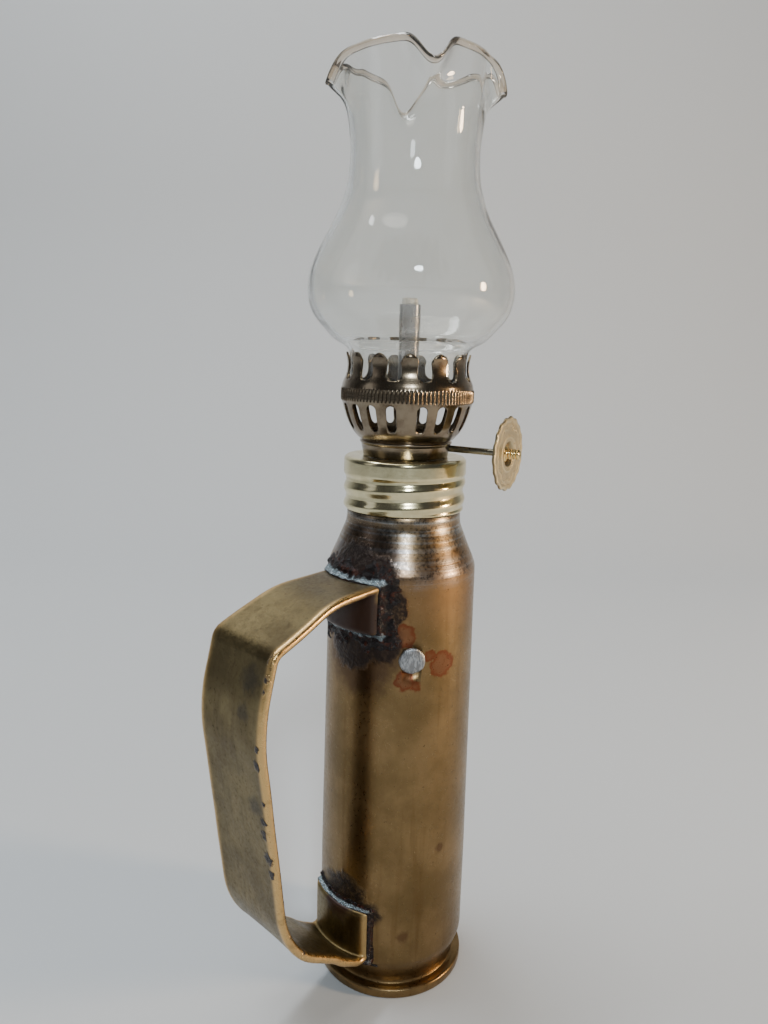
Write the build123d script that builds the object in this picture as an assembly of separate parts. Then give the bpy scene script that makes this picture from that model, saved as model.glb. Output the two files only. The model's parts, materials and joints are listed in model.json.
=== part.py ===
from build123d import *
from math import asin, degrees, hypot, pi
import os

# Small oil lamp made from a spent bottlenecked cartridge case, in millimetres.
# The origin is at the centre of the case's flat base, +Z is up, and the handle points along -X.

# ---- cartridge case: the fuel reservoir ----
RIM_PROUD = 0.2              # rim beyond the body's radius
RIM_HEIGHT = 2.0
GROOVE_DEPTH = 1.55          # extractor groove below the body's radius
GROOVE_TOP = 3.6
BEVEL_TOP = 7.6
BODY_RADIUS = 14.55
BODY_STRAIGHT_TOP = 25.0
BODY_TAPER = 0.6             # radius lost between the straight part and the shoulder
CASE_HEIGHT = 94.85          # base to the trimmed mouth
NECK_LENGTH = 2.4            # bare neck under the mouth
SHOULDER_HEIGHT = 8.0
NECK_RADIUS = 10.7
NECK_WALL = 0.9
BODY_WALL = 1.1
FLOOR_WALL = 2.2             # wall just above the solid base
FLOOR_HEIGHT = 10.0
POCKET_RADIUS = 4.6
POCKET_DEPTH = 6.2
PRIMER_RECESS = 0.2          # cup and insulator; the button is flush with the base
PRIMER_WALL = 1.2
PRIMER_ROOF = 1.0
BUTTON_RADIUS = 2.2
FLASH_HEAD_RADIUS = 2.4
FLASH_HEAD_HEIGHT = 0.7
FLASH_HOLE_RADIUS = 1.2

# ---- thread between the neck collar and the burner's cap ----
PITCH = 3.15
THREAD_DEPTH = 0.5
THREAD_ROOT_HALF = 0.85      # half the rib's width at its root and at its crest
THREAD_CREST_HALF = 0.3
THREAD_START = 1.1           # rib's ends from the case mouth and from the collar's top
ROLL_DEPTH = 0.32            # groove rolled into the outside of the cap
THREAD_CLEARANCE = 0.12
COLLAR_HEIGHT = 7.75         # above the case mouth
COLLAR_SKIRT = 4.0           # below the case mouth, inside the neck
COLLAR_WALL = 0.8
CAP_GAP = 0.15               # between the case mouth and the cap's lower edge
CAP_WALL = 0.35
CAP_PLATE = 0.7
GASKET_THICKNESS = 1.4
SEAT_GAP = 0.05              # between faces that rest on each other across a joint

# ---- burner ----
DRUM_RADIUS = 7.85
DRUM_FLARE = 0.45
DRUM_HEIGHT = 3.15
DRUM_WALL = 0.45
DISH_DEPTH = 2.5
SHEET = 0.5                  # thickness of the small pressed plates
BASKET_WALL = 0.4
CONE_HEIGHT = 6.85
KNURL_HEIGHT = 2.4
PRONG_HEIGHT = 6.35
PRONG_COUNT = 13
PRONG_WIDTH = 2.8
PRONG_FLARE = 0.7
PRONG_ROOT = 2.1             # bottom of the gaps above the knurled band
SLOT_COUNT = 19
SLOT_SPACING = 18.5          # degrees, which leaves one wider gap
SLOT_WIDTH = 1.7
SLOT_LENGTH = 4.4
SLOT_LIFT = 1.95             # slots' lower ends above the drum
GAP_AZIMUTH = 223.5          # middle of the wider gap between the air slots
PRONG_AZIMUTH = 225.0
PLATE_HOLES = 12
PLATE_HOLE_RADIUS = 1.2
PLATE_HOLE_SHARE = 0.56      # their circle, as a share of the chimney's base radius

# ---- wick and its tube ----
WICK_RADIUS = 1.5
WICK_CLEARANCE = 0.12
TUBE_WALL = 0.31
TUBE_ABOVE_PLATE = 14.8
TUBE_BELOW_CAP = 12.0
WICK_ABOVE_TUBE = 1.3
WICK_ABOVE_FLOOR = 8.0
WICK_GROOVE_DEPTH = 0.35
WICK_LIFT = 10.0
WICK_DROP = 4.0

# ---- wick raiser ----
SPINDLE_AZIMUTH = 285.0
SPINDLE_RADIUS = 0.62
SPINDLE_HEIGHT = 1.6         # axis above the cap's top
RUNNING_CLEARANCE = 0.06
SPROCKET_RADIUS = 1.65
SPROCKET_WIDTH = 0.8
SPROCKET_TEETH = 10
TOOTH_DEPTH = 0.42
TOOTH_BITE = 0.15
KNOB_REACH = 19.1            # knob disc from the foot of the spindle's axis
KNOB_RADIUS = 6.7
KNOB_THICKNESS = 0.6
KNOB_DISH = 1.1              # hub set back from the rim
HUB_RADIUS = 1.8
SCALLOPS = 18
SCALLOP_DEPTH = 0.28
STUB_RADIUS = 0.95
STUB_LENGTH = 3.1            # from the hub's outer face
STUB_FLANGE = 1.5
STUB_CAP = 0.2
BRACKET_GAP = 3.2            # between the two ears
BRACKET_WIDTH = 2.4

# ---- chimney ----
CHIMNEY_BASE_RADIUS = 10.8
CHIMNEY_BULB_RADIUS = 18.5
CHIMNEY_HEIGHT = 55.75
CHIMNEY_WALL = 1.2
CHIMNEY_CLEARANCE = 0.12     # to the inside of the prongs

# ---- handle ----
STRIP_THICKNESS = 1.6
STRIP_WIDTH = 16.6
TAB_WIDTH = 14.6
HANDLE_REACH = 25.05         # strip's middle beyond the body's radius
HANDLE_BELOW_SHOULDER = 1.3
HANDLE_LOW = 8.9
TAB_HEIGHT = 8.8
TAB_BELOW = 1.2              # lower tab's lower edge under that height
SOLDER_GAP = 0.15
SOLDER_BEAD = 0.6
SOLDER_MARGIN = 1.3

# ---- solder plug in the side of the case ----
PLUG_AZIMUTH = 233.4
PLUG_HEIGHT = 69.6
PLUG_HOLE_RADIUS = 2.0
PLUG_HEAD_RADIUS = 2.4
PLUG_PROUD = 0.35

# ---- heights and radii worked out from the sizes above ----
RIM_RADIUS = BODY_RADIUS + RIM_PROUD
GROOVE_RADIUS = BODY_RADIUS - GROOVE_DEPTH
SHOULDER_TOP = CASE_HEIGHT - NECK_LENGTH
SHOULDER_BOTTOM = SHOULDER_TOP - SHOULDER_HEIGHT
SHOULDER_RADIUS = BODY_RADIUS - BODY_TAPER
NECK_BORE = NECK_RADIUS - NECK_WALL

THREAD_ROOT = NECK_RADIUS - 0.2
THREAD_CREST = THREAD_ROOT + THREAD_DEPTH
CAP_BORE = THREAD_ROOT + THREAD_CLEARANCE
CAP_GROOVE = THREAD_CREST + THREAD_CLEARANCE
CAP_RADIUS = CAP_GROOVE + CAP_WALL
COLLAR_TOP = CASE_HEIGHT + COLLAR_HEIGHT
GASKET_BOTTOM = COLLAR_TOP + SEAT_GAP
GASKET_TOP = GASKET_BOTTOM + GASKET_THICKNESS
CAP_BOTTOM = CASE_HEIGHT + CAP_GAP
CAP_INNER_TOP = GASKET_TOP + SEAT_GAP
CAP_TOP = CAP_INNER_TOP + CAP_PLATE
DISH_RADIUS = DRUM_RADIUS - DRUM_WALL - 0.9
DISH_FLOOR = CAP_TOP - DISH_DEPTH

DRUM_TOP = CAP_TOP + DRUM_HEIGHT
CONE_TOP = DRUM_TOP + CONE_HEIGHT
KNURL_TOP = CONE_TOP + KNURL_HEIGHT
PRONG_TOP = KNURL_TOP + PRONG_HEIGHT
WAIST_RADIUS = CHIMNEY_BASE_RADIUS + CHIMNEY_CLEARANCE + BASKET_WALL
KNURL_RADIUS = WAIST_RADIUS + 0.95
PLATE_TOP = KNURL_TOP - 0.1
CHIMNEY_BASE = PLATE_TOP + SEAT_GAP

TUBE_BORE = WICK_RADIUS + WICK_CLEARANCE
TUBE_RADIUS = TUBE_BORE + TUBE_WALL
TUBE_TOP = PLATE_TOP + TUBE_ABOVE_PLATE
TUBE_BOTTOM = CAP_TOP - TUBE_BELOW_CAP
WICK_TOP = TUBE_TOP + WICK_ABOVE_TUBE
WICK_BOTTOM = FLOOR_HEIGHT + WICK_ABOVE_FLOOR

SPINDLE_Z = CAP_TOP + SPINDLE_HEIGHT
SPINDLE_OFFSET = WICK_RADIUS - TOOTH_BITE + SPROCKET_RADIUS
SPROCKET_SLOT = SPROCKET_WIDTH + 0.3
HUB_FACE = KNOB_REACH - KNOB_DISH + KNOB_THICKNESS / 2
HANDLE_TOP = SHOULDER_BOTTOM - HANDLE_BELOW_SHOULDER
UPPER_TAB_LOW = HANDLE_TOP - TAB_HEIGHT
LOWER_TAB_LOW = HANDLE_LOW - TAB_BELOW
LOWER_TAB_HIGH = HANDLE_LOW + TAB_HEIGHT

STANDING = (Align.CENTER, Align.CENTER, Align.MIN)

# Spindle frame: local X runs out along the spindle, local Y away from the wick, local Z up.
SPINDLE_PLACE = Rot(0, 0, SPINDLE_AZIMUTH) * Pos(0, SPINDLE_OFFSET, SPINDLE_Z)
BURNER_TURN = Rot(0, 0, SPINDLE_AZIMUTH)


def outline(corners):
    """Closed face in the XZ plane from (x, z) or (x, z, fillet radius) corners."""
    points = [corner[:2] for corner in corners]
    radii = [corner[2] if len(corner) == 3 else 0 for corner in corners]
    return Plane.XZ * make_face(FilletPolyline(*points, radius=radii, close=True))


def turned(corners):
    """Solid of revolution about Z."""
    return revolve(outline(corners), Axis.Z, 360)


def ring(inner, outer, bottom, top):
    return turned([(inner, bottom), (outer, bottom), (outer, top), (inner, top)])


def disc(radius, bottom, top):
    upright = Cylinder(radius, top - bottom, align=STANDING)
    return Pos(0, 0, bottom) * upright


def rod_along_x(radius, start, end):
    """Cylinder along local X from start to end."""
    rod = Cylinder(radius, end - start, align=STANDING)
    return Pos(start, 0, 0) * Rot(0, 90, 0) * rod


def case_radius(height):
    """Outer radius of the case's straight and tapered body."""
    if height <= BODY_STRAIGHT_TOP:
        return BODY_RADIUS
    share = (height - BODY_STRAIGHT_TOP) / (SHOULDER_BOTTOM - BODY_STRAIGHT_TOP)
    return BODY_RADIUS - BODY_TAPER * share


def thread_rib(radius, depth, start, end, root_half, crest_half):
    """Right-hand helical rib of trapezoid section that stands out of a cylinder of this radius."""
    bury = 0.15
    path = Pos(0, 0, start) * Helix(PITCH, end - start, radius)
    section = make_face(
        Polyline(
            (-bury, -root_half),
            (depth, -crest_half),
            (depth, crest_half),
            (-bury, root_half),
            close=True,
        )
    )
    place = Plane(origin=path @ 0, x_dir=(1, 0, 0), z_dir=path % 0)
    return sweep(place * section, path=path, is_frenet=True)


def make_shell_case():
    outer = [
        (0, 0),
        (RIM_RADIUS, 0, 0.3),
        (RIM_RADIUS, RIM_HEIGHT, 0.3),
        (GROOVE_RADIUS, RIM_HEIGHT, 0.2),
        (GROOVE_RADIUS, GROOVE_TOP, 0.3),
        (BODY_RADIUS, BEVEL_TOP, 1.0),
        (BODY_RADIUS, BODY_STRAIGHT_TOP, 60),
        (SHOULDER_RADIUS, SHOULDER_BOTTOM, 4.0),
        (NECK_RADIUS, SHOULDER_TOP, 3.0),
        (NECK_RADIUS, CASE_HEIGHT),
    ]
    inner = [
        (NECK_BORE, CASE_HEIGHT),
        (NECK_BORE, SHOULDER_TOP - 0.4, 3.0),
        (SHOULDER_RADIUS - BODY_WALL, SHOULDER_BOTTOM - 0.4, 4.0),
        (BODY_RADIUS - FLOOR_WALL, FLOOR_HEIGHT + 6, 20),
        (BODY_RADIUS - FLOOR_WALL - 0.6, FLOOR_HEIGHT, 3.0),
        (0, FLOOR_HEIGHT),
    ]
    case = turned(outer + inner)
    case -= disc(POCKET_RADIUS, 0, POCKET_DEPTH)
    case -= disc(FLASH_HOLE_RADIUS, 0, FLOOR_HEIGHT)
    hole = rod_along_x(PLUG_HOLE_RADIUS, BODY_RADIUS / 2, BODY_RADIUS + 1)
    return case - Rot(0, 0, PLUG_AZIMUTH) * Pos(0, 0, PLUG_HEIGHT) * hole


def make_primer_cup():
    """Spent primer, left in its pocket, as a shallow cup that opens downward."""
    top = POCKET_DEPTH
    cup = disc(POCKET_RADIUS, PRIMER_RECESS, top)
    return cup - disc(POCKET_RADIUS - PRIMER_WALL, PRIMER_RECESS, top - PRIMER_ROOF)


def make_primer_insulator():
    outer = POCKET_RADIUS - PRIMER_WALL
    return ring(BUTTON_RADIUS, outer, PRIMER_RECESS, POCKET_DEPTH - PRIMER_ROOF)


def make_primer_button():
    return disc(BUTTON_RADIUS, 0, POCKET_DEPTH - PRIMER_ROOF)


def make_flash_hole_plug():
    """Drop of solder that closes the flash hole, with a head on the reservoir's floor."""
    stem = disc(FLASH_HOLE_RADIUS, POCKET_DEPTH, FLOOR_HEIGHT)
    top = FLOOR_HEIGHT + FLASH_HEAD_HEIGHT
    head = turned(
        [
            (0, FLOOR_HEIGHT),
            (FLASH_HEAD_RADIUS, FLOOR_HEIGHT),
            (FLASH_HEAD_RADIUS - 0.8, top, 0.5),
            (0, top),
        ]
    )
    return stem + head


def make_hole_plug(case):
    """Solder that fills an old hole in the case's side, with a head that follows the case."""
    wall = case_radius(PLUG_HEIGHT)
    stem = rod_along_x(PLUG_HOLE_RADIUS, wall - BODY_WALL - 0.8, wall)
    head = rod_along_x(PLUG_HEAD_RADIUS, wall - 0.4, wall + PLUG_PROUD)
    outer_edge = head.edges().filter_by(GeomType.CIRCLE).sort_by(Axis.X)[-1]
    rounded = fillet(outer_edge, PLUG_PROUD * 0.7)
    plug = Rot(0, 0, PLUG_AZIMUTH) * Pos(0, 0, PLUG_HEIGHT) * (stem + rounded)
    return (plug - case).solids().sort_by(SortBy.VOLUME)[-1]


def make_neck_collar():
    """Threaded collar: its skirt is soldered inside the neck and its shoulder sits on the mouth."""
    skirt_bottom = CASE_HEIGHT - COLLAR_SKIRT
    bore = NECK_BORE - COLLAR_WALL
    collar = turned(
        [
            (bore, skirt_bottom),
            (NECK_BORE, skirt_bottom),
            (NECK_BORE, CASE_HEIGHT),
            (THREAD_ROOT, CASE_HEIGHT),
            (THREAD_ROOT, COLLAR_TOP, 0.2),
            (bore, COLLAR_TOP, 0.2),
        ]
    )
    rib = thread_rib(
        THREAD_ROOT,
        THREAD_DEPTH,
        CASE_HEIGHT + THREAD_START,
        COLLAR_TOP - THREAD_START,
        THREAD_ROOT_HALF,
        THREAD_CREST_HALF,
    )
    return collar + rib


def make_screw_cap():
    """Pressed cap with a rolled thread, and a dished top that carries the burner."""
    dish_outer = DISH_RADIUS + SHEET
    cap = turned(
        [
            (CAP_BORE, CAP_BOTTOM),
            (CAP_RADIUS, CAP_BOTTOM, 0.2),
            (CAP_RADIUS, CAP_TOP, 0.7),
            (DISH_RADIUS, CAP_TOP, 0.3),
            (DISH_RADIUS, DISH_FLOOR),
            (0, DISH_FLOOR),
            (0, DISH_FLOOR - SHEET),
            (dish_outer, DISH_FLOOR - SHEET, 0.3),
            (dish_outer, CAP_INNER_TOP),
            (CAP_GROOVE, CAP_INNER_TOP),
            (CAP_GROOVE, COLLAR_TOP - 0.6),
            (CAP_BORE, COLLAR_TOP - 0.6),
        ]
    )
    slack = THREAD_CLEARANCE
    inside = thread_rib(
        THREAD_ROOT,
        THREAD_DEPTH + slack,
        CASE_HEIGHT + THREAD_START - PITCH,
        COLLAR_TOP - 0.6,
        THREAD_ROOT_HALF + slack,
        THREAD_CREST_HALF + slack,
    )
    rolled = outside_groove(CAP_BOTTOM + PITCH * 0.1, CAP_TOP - 3.2)
    return cap - inside - rolled - disc(TUBE_RADIUS, DISH_FLOOR - 1, CAP_TOP)


def outside_groove(start, end):
    """Shallow rounded groove rolled into the cap between the thread's ridges."""
    path = Pos(0, 0, start) * Helix(PITCH, end - start, CAP_RADIUS)
    place = Plane(origin=path @ 0, x_dir=(1, 0, 0), z_dir=path % 0)
    half = PITCH * 0.35
    section = make_face(
        Polyline((-ROLL_DEPTH, -0.2), (0.2, -half), (0.2, half), (-ROLL_DEPTH, 0.2), close=True)
    )
    return sweep(place * section, path=path, is_frenet=True)


def make_cap_gasket():
    return ring(DISH_RADIUS + SHEET + 0.35, THREAD_ROOT, GASKET_BOTTOM, GASKET_TOP)


def make_burner_drum():
    """Low drum on the cap, with the spindle's hole through its wall."""
    top_radius = DRUM_RADIUS + DRUM_FLARE
    drum = turned(
        [
            (DRUM_RADIUS - DRUM_WALL, CAP_TOP),
            (DRUM_RADIUS, CAP_TOP),
            (top_radius, DRUM_TOP - 0.85, 0.2),
            (top_radius + 0.3, DRUM_TOP - 0.45, 0.2),
            (top_radius, DRUM_TOP),
            (top_radius - DRUM_WALL, DRUM_TOP),
        ]
    )
    return drum - SPINDLE_PLACE * rod_along_x(SPINDLE_RADIUS + RUNNING_CLEARANCE, 0, KNOB_REACH)


def make_spindle_bracket():
    """Saddle on the dish's floor whose two ears carry the spindle beside the sprocket."""
    top = SPINDLE_RADIUS + 0.8
    floor = DISH_FLOOR - SPINDLE_Z
    half = BRACKET_GAP / 2
    inner_edge = TUBE_RADIUS + 0.2 - SPINDLE_OFFSET
    base = Box(
        BRACKET_GAP, BRACKET_WIDTH / 2 - inner_edge, SHEET * 0.8, align=(Align.CENTER, Align.MIN, Align.MIN)
    )
    saddle = Pos(0, inner_edge, floor) * base
    for side in (-1, 1):
        ear = Box(SHEET, BRACKET_WIDTH, top - floor, align=STANDING)
        saddle += Pos(side * (half + SHEET / 2), 0, floor) * ear
    hole = rod_along_x(SPINDLE_RADIUS + RUNNING_CLEARANCE, -KNOB_REACH, KNOB_REACH)
    return SPINDLE_PLACE * (saddle - hole)


def make_gallery_basket():
    """One pressed shell: flange, slotted cone, knurled band and the prongs that hold the chimney."""
    foot = DRUM_RADIUS + DRUM_FLARE
    flange = foot - DRUM_WALL - 0.4
    wall = BASKET_WALL
    band = KNURL_RADIUS
    waist_z = KNURL_TOP + 4.1
    shell = turned(
        [
            (flange, DRUM_TOP),
            (foot + 0.45, DRUM_TOP, 0.2),
            (foot + 1.5, DRUM_TOP + 1.5, 1.5),
            (foot + 2.9, DRUM_TOP + 4.4, 6.0),
            (band - 0.35, CONE_TOP, 0.1),
            (band, CONE_TOP + 0.15, 0.1),
            (band, KNURL_TOP, 0.3),
            (WAIST_RADIUS + 0.6, KNURL_TOP + 1.2, 0.6),
            (WAIST_RADIUS, waist_z, 4.0),
            (WAIST_RADIUS + PRONG_FLARE, PRONG_TOP, 0.1),
            (WAIST_RADIUS + PRONG_FLARE - wall, PRONG_TOP, 0.1),
            (WAIST_RADIUS - wall, waist_z, 4.0),
            (WAIST_RADIUS + 0.45 - wall, KNURL_TOP + 0.9, 0.4),
            (band - wall, PLATE_TOP + 0.02),
            (band - wall, CONE_TOP + 0.2),
            (foot + 2.9 - wall, DRUM_TOP + 4.55, 6.0),
            (foot + 1.5 - wall, DRUM_TOP + 1.75, 1.5),
            (foot + 0.3 - wall, DRUM_TOP + wall),
            (flange, DRUM_TOP + wall),
        ]
    )
    slot = Box(6, SLOT_WIDTH, SLOT_LENGTH)
    slot = fillet(slot.edges().filter_by(Axis.X), SLOT_WIDTH * 0.45)
    slot_z = DRUM_TOP + SLOT_LIFT + SLOT_LENGTH / 2
    slot_radius = (foot + band) / 2 + 0.6
    first = GAP_AZIMUTH + (360 - SLOT_SPACING * (SLOT_COUNT - 1)) / 2
    for index in range(SLOT_COUNT):
        azimuth = first + index * SLOT_SPACING
        shell -= Rot(0, 0, azimuth) * Pos(slot_radius, 0, slot_z) * slot
    return shell - prong_gaps()


def prong_gaps():
    """The wedges between the prongs, cut down from their tips with round bottoms."""
    bottom = KNURL_TOP + PRONG_ROOT
    pitch = 2 * pi * WAIST_RADIUS / PRONG_COUNT
    gap = pitch - PRONG_WIDTH
    gaps = []
    for index in range(PRONG_COUNT):
        azimuth = PRONG_AZIMUTH + (index + 0.5) * 360 / PRONG_COUNT
        upper = Box(4, gap, PRONG_HEIGHT + 2, align=STANDING)
        cutter = Pos(0, 0, bottom + gap / 2) * upper
        cutter += Pos(-2, 0, bottom + gap / 2) * rod_along_x(gap / 2, 0, 4)
        gaps.append(Rot(0, 0, azimuth) * Pos(WAIST_RADIUS + 0.2, 0, 0) * cutter)
    return gaps


def make_draft_plate():
    """Perforated plate inside the knurled band: the chimney stands on it and air passes through."""
    radius = KNURL_RADIUS - BASKET_WALL - 0.03
    plate = ring(TUBE_RADIUS + 0.05, radius, PLATE_TOP - BASKET_WALL, PLATE_TOP)
    for index in range(PLATE_HOLES):
        hole = disc(PLATE_HOLE_RADIUS, PLATE_TOP - 1, PLATE_TOP + 1)
        place = Pos(CHIMNEY_BASE_RADIUS * PLATE_HOLE_SHARE, 0, 0)
        plate -= Rot(0, 0, index * 360 / PLATE_HOLES) * place * hole
    return plate


def make_wick_tube():
    tube = ring(TUBE_BORE, TUBE_RADIUS, TUBE_BOTTOM, TUBE_TOP)
    height = 2 * SPROCKET_RADIUS + 0.8
    window = Box(SPROCKET_SLOT, TUBE_RADIUS, height, align=(Align.CENTER, Align.MIN, Align.CENTER))
    return tube - BURNER_TURN * Pos(0, TUBE_RADIUS * 0.3, SPINDLE_Z) * window


def make_wick():
    """Round wick with the shallow groove that the sprocket's teeth press into it."""
    wick = disc(WICK_RADIUS, WICK_BOTTOM, WICK_TOP)
    low = SPINDLE_Z - WICK_LIFT - 2
    high = SPINDLE_Z + WICK_DROP + 2
    groove = Box(SPROCKET_SLOT, 2, high - low, align=(Align.CENTER, Align.MIN, Align.MIN))
    return wick - BURNER_TURN * Pos(0, WICK_RADIUS - WICK_GROOVE_DEPTH, low) * groove


def make_spindle():
    """Spindle that runs from beyond the bracket into the sleeve outside the knob."""
    inner_end = -(BRACKET_GAP / 2 + SHEET + 0.6)
    shaft = rod_along_x(SPINDLE_RADIUS, inner_end, HUB_FACE + STUB_LENGTH - STUB_CAP)
    return SPINDLE_PLACE * shaft


def make_wick_sprocket():
    """Toothed wheel that presses into the wick."""
    half = SPROCKET_WIDTH / 2
    root = SPROCKET_RADIUS - TOOTH_DEPTH
    wheel = rod_along_x(root, -half, half)
    foot = root - 0.2
    tip = SPROCKET_RADIUS
    tooth = Plane.YZ * make_face(Polyline((foot, -0.3), (tip, -0.1), (tip, 0.1), (foot, 0.3), close=True))
    blade = Pos(-half, 0, 0) * extrude(tooth, SPROCKET_WIDTH)
    for index in range(SPROCKET_TEETH):
        wheel += Rot(180 + index * 360 / SPROCKET_TEETH, 0, 0) * blade
    return SPINDLE_PLACE * (wheel - rod_along_x(SPINDLE_RADIUS, -half, half))


def make_knob_disc():
    """Scalloped disc, dished so that its flat hub lies nearer to the burner than its rim."""
    half = KNOB_THICKNESS / 2
    dished = turned(
        [
            (SPINDLE_RADIUS, -KNOB_DISH - half),
            (HUB_RADIUS, -KNOB_DISH - half),
            (KNOB_RADIUS, -half),
            (KNOB_RADIUS, half),
            (HUB_RADIUS, half - KNOB_DISH),
            (SPINDLE_RADIUS, half - KNOB_DISH),
        ]
    )
    knob = Pos(KNOB_REACH, 0, 0) * Rot(0, 90, 0) * dished
    bite = KNOB_RADIUS * 0.14
    notch_place = Pos(0, KNOB_RADIUS - SCALLOP_DEPTH + bite, 0)
    notch = notch_place * rod_along_x(bite, KNOB_REACH - 1, KNOB_REACH + 1)
    for index in range(SCALLOPS):
        knob -= Rot(index * 360 / SCALLOPS, 0, 0) * notch
    return SPINDLE_PLACE * knob


def make_knob_stub():
    """Grooved sleeve riveted over the spindle's end, which clamps the knob's hub."""
    end = HUB_FACE + STUB_LENGTH
    sleeve = rod_along_x(STUB_RADIUS, HUB_FACE, end)
    sleeve += rod_along_x(STUB_FLANGE, HUB_FACE, HUB_FACE + 0.4)
    for index in range(3):
        low = HUB_FACE + 0.8 + index * 0.7
        high = low + 0.25
        groove = rod_along_x(STUB_RADIUS + 0.2, low, high) - rod_along_x(STUB_RADIUS - 0.15, low, high)
        sleeve -= groove
    return SPINDLE_PLACE * (sleeve - rod_along_x(SPINDLE_RADIUS, HUB_FACE, end - STUB_CAP))


def make_glass_chimney():
    """Chimney with a straight fitter, a round bulb, a narrow neck and a flared top."""
    base = CHIMNEY_BASE_RADIUS
    bulb = CHIMNEY_BULB_RADIUS
    swell = bulb - base
    height = CHIMNEY_HEIGHT
    curve = [
        (base, 0.086),
        (base + swell * 0.088, 0.128),
        (base + swell * 0.39, 0.154),
        (base + swell * 0.61, 0.186),
        (base + swell * 0.80, 0.216),
        (bulb, 0.3),
        (base + swell * 0.86, 0.401),
        (base + swell * 0.42, 0.522),
        (base + swell * 0.13, 0.644),
        (base + swell * 0.09, 0.73),
        (base + swell * 0.175, 0.846),
        (base + swell * 0.375, 1.0),
    ]
    outer = [(radius, CHIMNEY_BASE + share * height) for radius, share in curve]
    inner = inset(outer, CHIMNEY_WALL)
    outside = Spline(*outer)
    inside = Spline(*inner)
    foot_in = (base - CHIMNEY_WALL, CHIMNEY_BASE)
    foot_out = (base, CHIMNEY_BASE)
    edges = [
        Line(foot_in, foot_out),
        Line(foot_out, outer[0]),
        outside,
        Line(outer[-1], inner[-1]),
        inside,
        Line(inner[0], foot_in),
    ]
    return revolve(Plane.XZ * make_face(edges), Axis.Z, 360)


def inset(points, wall):
    """Points moved inward by the wall's thickness, square to the line through their neighbours."""
    moved = []
    for index, (radius, height) in enumerate(points):
        before = points[max(index - 1, 0)]
        after = points[min(index + 1, len(points) - 1)]
        along = (after[0] - before[0], after[1] - before[1])
        length = hypot(*along)
        moved.append((radius - wall * along[1] / length, height + wall * along[0] / length))
    moved[0] = (points[0][0] - wall, points[0][1])
    moved[-1] = (points[-1][0] - wall, points[-1][1])
    return moved


def tab_shell(low, high, thickness, width, lift):
    """Piece of shell against the case's side, centred on the handle."""
    inner_low = case_radius(low) + lift
    inner_high = case_radius(high) + lift
    section = outline(
        [(inner_low, low), (inner_low + thickness, low), (inner_high + thickness, high), (inner_high, high)]
    )
    span = 2 * degrees(asin(width / 2 / inner_high))
    return Rot(0, 0, 180 - span / 2) * revolve(section, Axis.Z, span)


def handle_line():
    """Middle line of the strip, seen from the side, from the upper end to the lower one."""
    side = -BODY_RADIUS
    reach = HANDLE_REACH
    top = HANDLE_TOP
    low = HANDLE_LOW
    points = [
        (side + 2.5, top - 0.5),
        (side - reach * 0.38, top - 0.8),
        (side - reach * 0.91, top - 7.3),
        (side - reach, top - 19.3),
        (side - reach * 0.8, low + 13.1),
        (side + 2.5, low - 0.8),
    ]
    return FilletPolyline(*points, radius=[18, 4.0, 30, 20])


def make_handle():
    """Flat strip bent into a loop, narrower at its ends, which are tabs against the case."""
    path = Plane.XZ * handle_line()
    start = Plane(origin=path @ 0, x_dir=(0, 1, 0), z_dir=path % 0)
    strip = sweep(start * Rectangle(STRIP_WIDTH, STRIP_THICKNESS), path=path)
    near = -BODY_RADIUS + 4
    far = -BODY_RADIUS - HANDLE_REACH - STRIP_THICKNESS
    half_tab = TAB_WIDTH / 2
    half_strip = STRIP_WIDTH / 2
    taper = make_face(
        Polyline((near, -half_tab), (far, -half_strip), (far, half_strip), (near, half_tab), close=True)
    )
    strip = strip & Pos(0, 0, -5) * extrude(taper, CASE_HEIGHT + 10)
    long_edges = [
        edge
        for edge in strip.edges()
        if abs((edge @ 1 - edge @ 0).Y) < 0.6 * edge.length and edge.length > 1.5 * STRIP_THICKNESS
    ]
    strip = fillet(long_edges, STRIP_THICKNESS * 0.4)
    upper = tab_shell(UPPER_TAB_LOW, HANDLE_TOP, STRIP_THICKNESS, TAB_WIDTH, SOLDER_GAP)
    lower = tab_shell(LOWER_TAB_LOW, LOWER_TAB_HIGH, STRIP_THICKNESS, TAB_WIDTH, SOLDER_GAP)
    clearance = turned(
        [
            (0, -1),
            (BODY_RADIUS + SOLDER_GAP, -1),
            (BODY_RADIUS + SOLDER_GAP, BODY_STRAIGHT_TOP),
            (SHOULDER_RADIUS + SOLDER_GAP, SHOULDER_BOTTOM),
            (0, SHOULDER_BOTTOM),
        ]
    )
    return (strip + upper + lower) - clearance


def make_handle_solder(low, high, handle):
    """Solder under a tab and in a bead round it."""
    wide = TAB_WIDTH + 2 * SOLDER_MARGIN
    patch = tab_shell(low - SOLDER_MARGIN, high + SOLDER_MARGIN, SOLDER_BEAD, wide, 0)
    pieces = (patch - handle).solids().sort_by(SortBy.VOLUME)
    return pieces[-1]


def save(name, shape):
    solids = shape.solids()
    whole = solids[0] if len(solids) == 1 else Compound(children=list(solids))
    export_step(whole, "parts/" + name + ".step")


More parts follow.
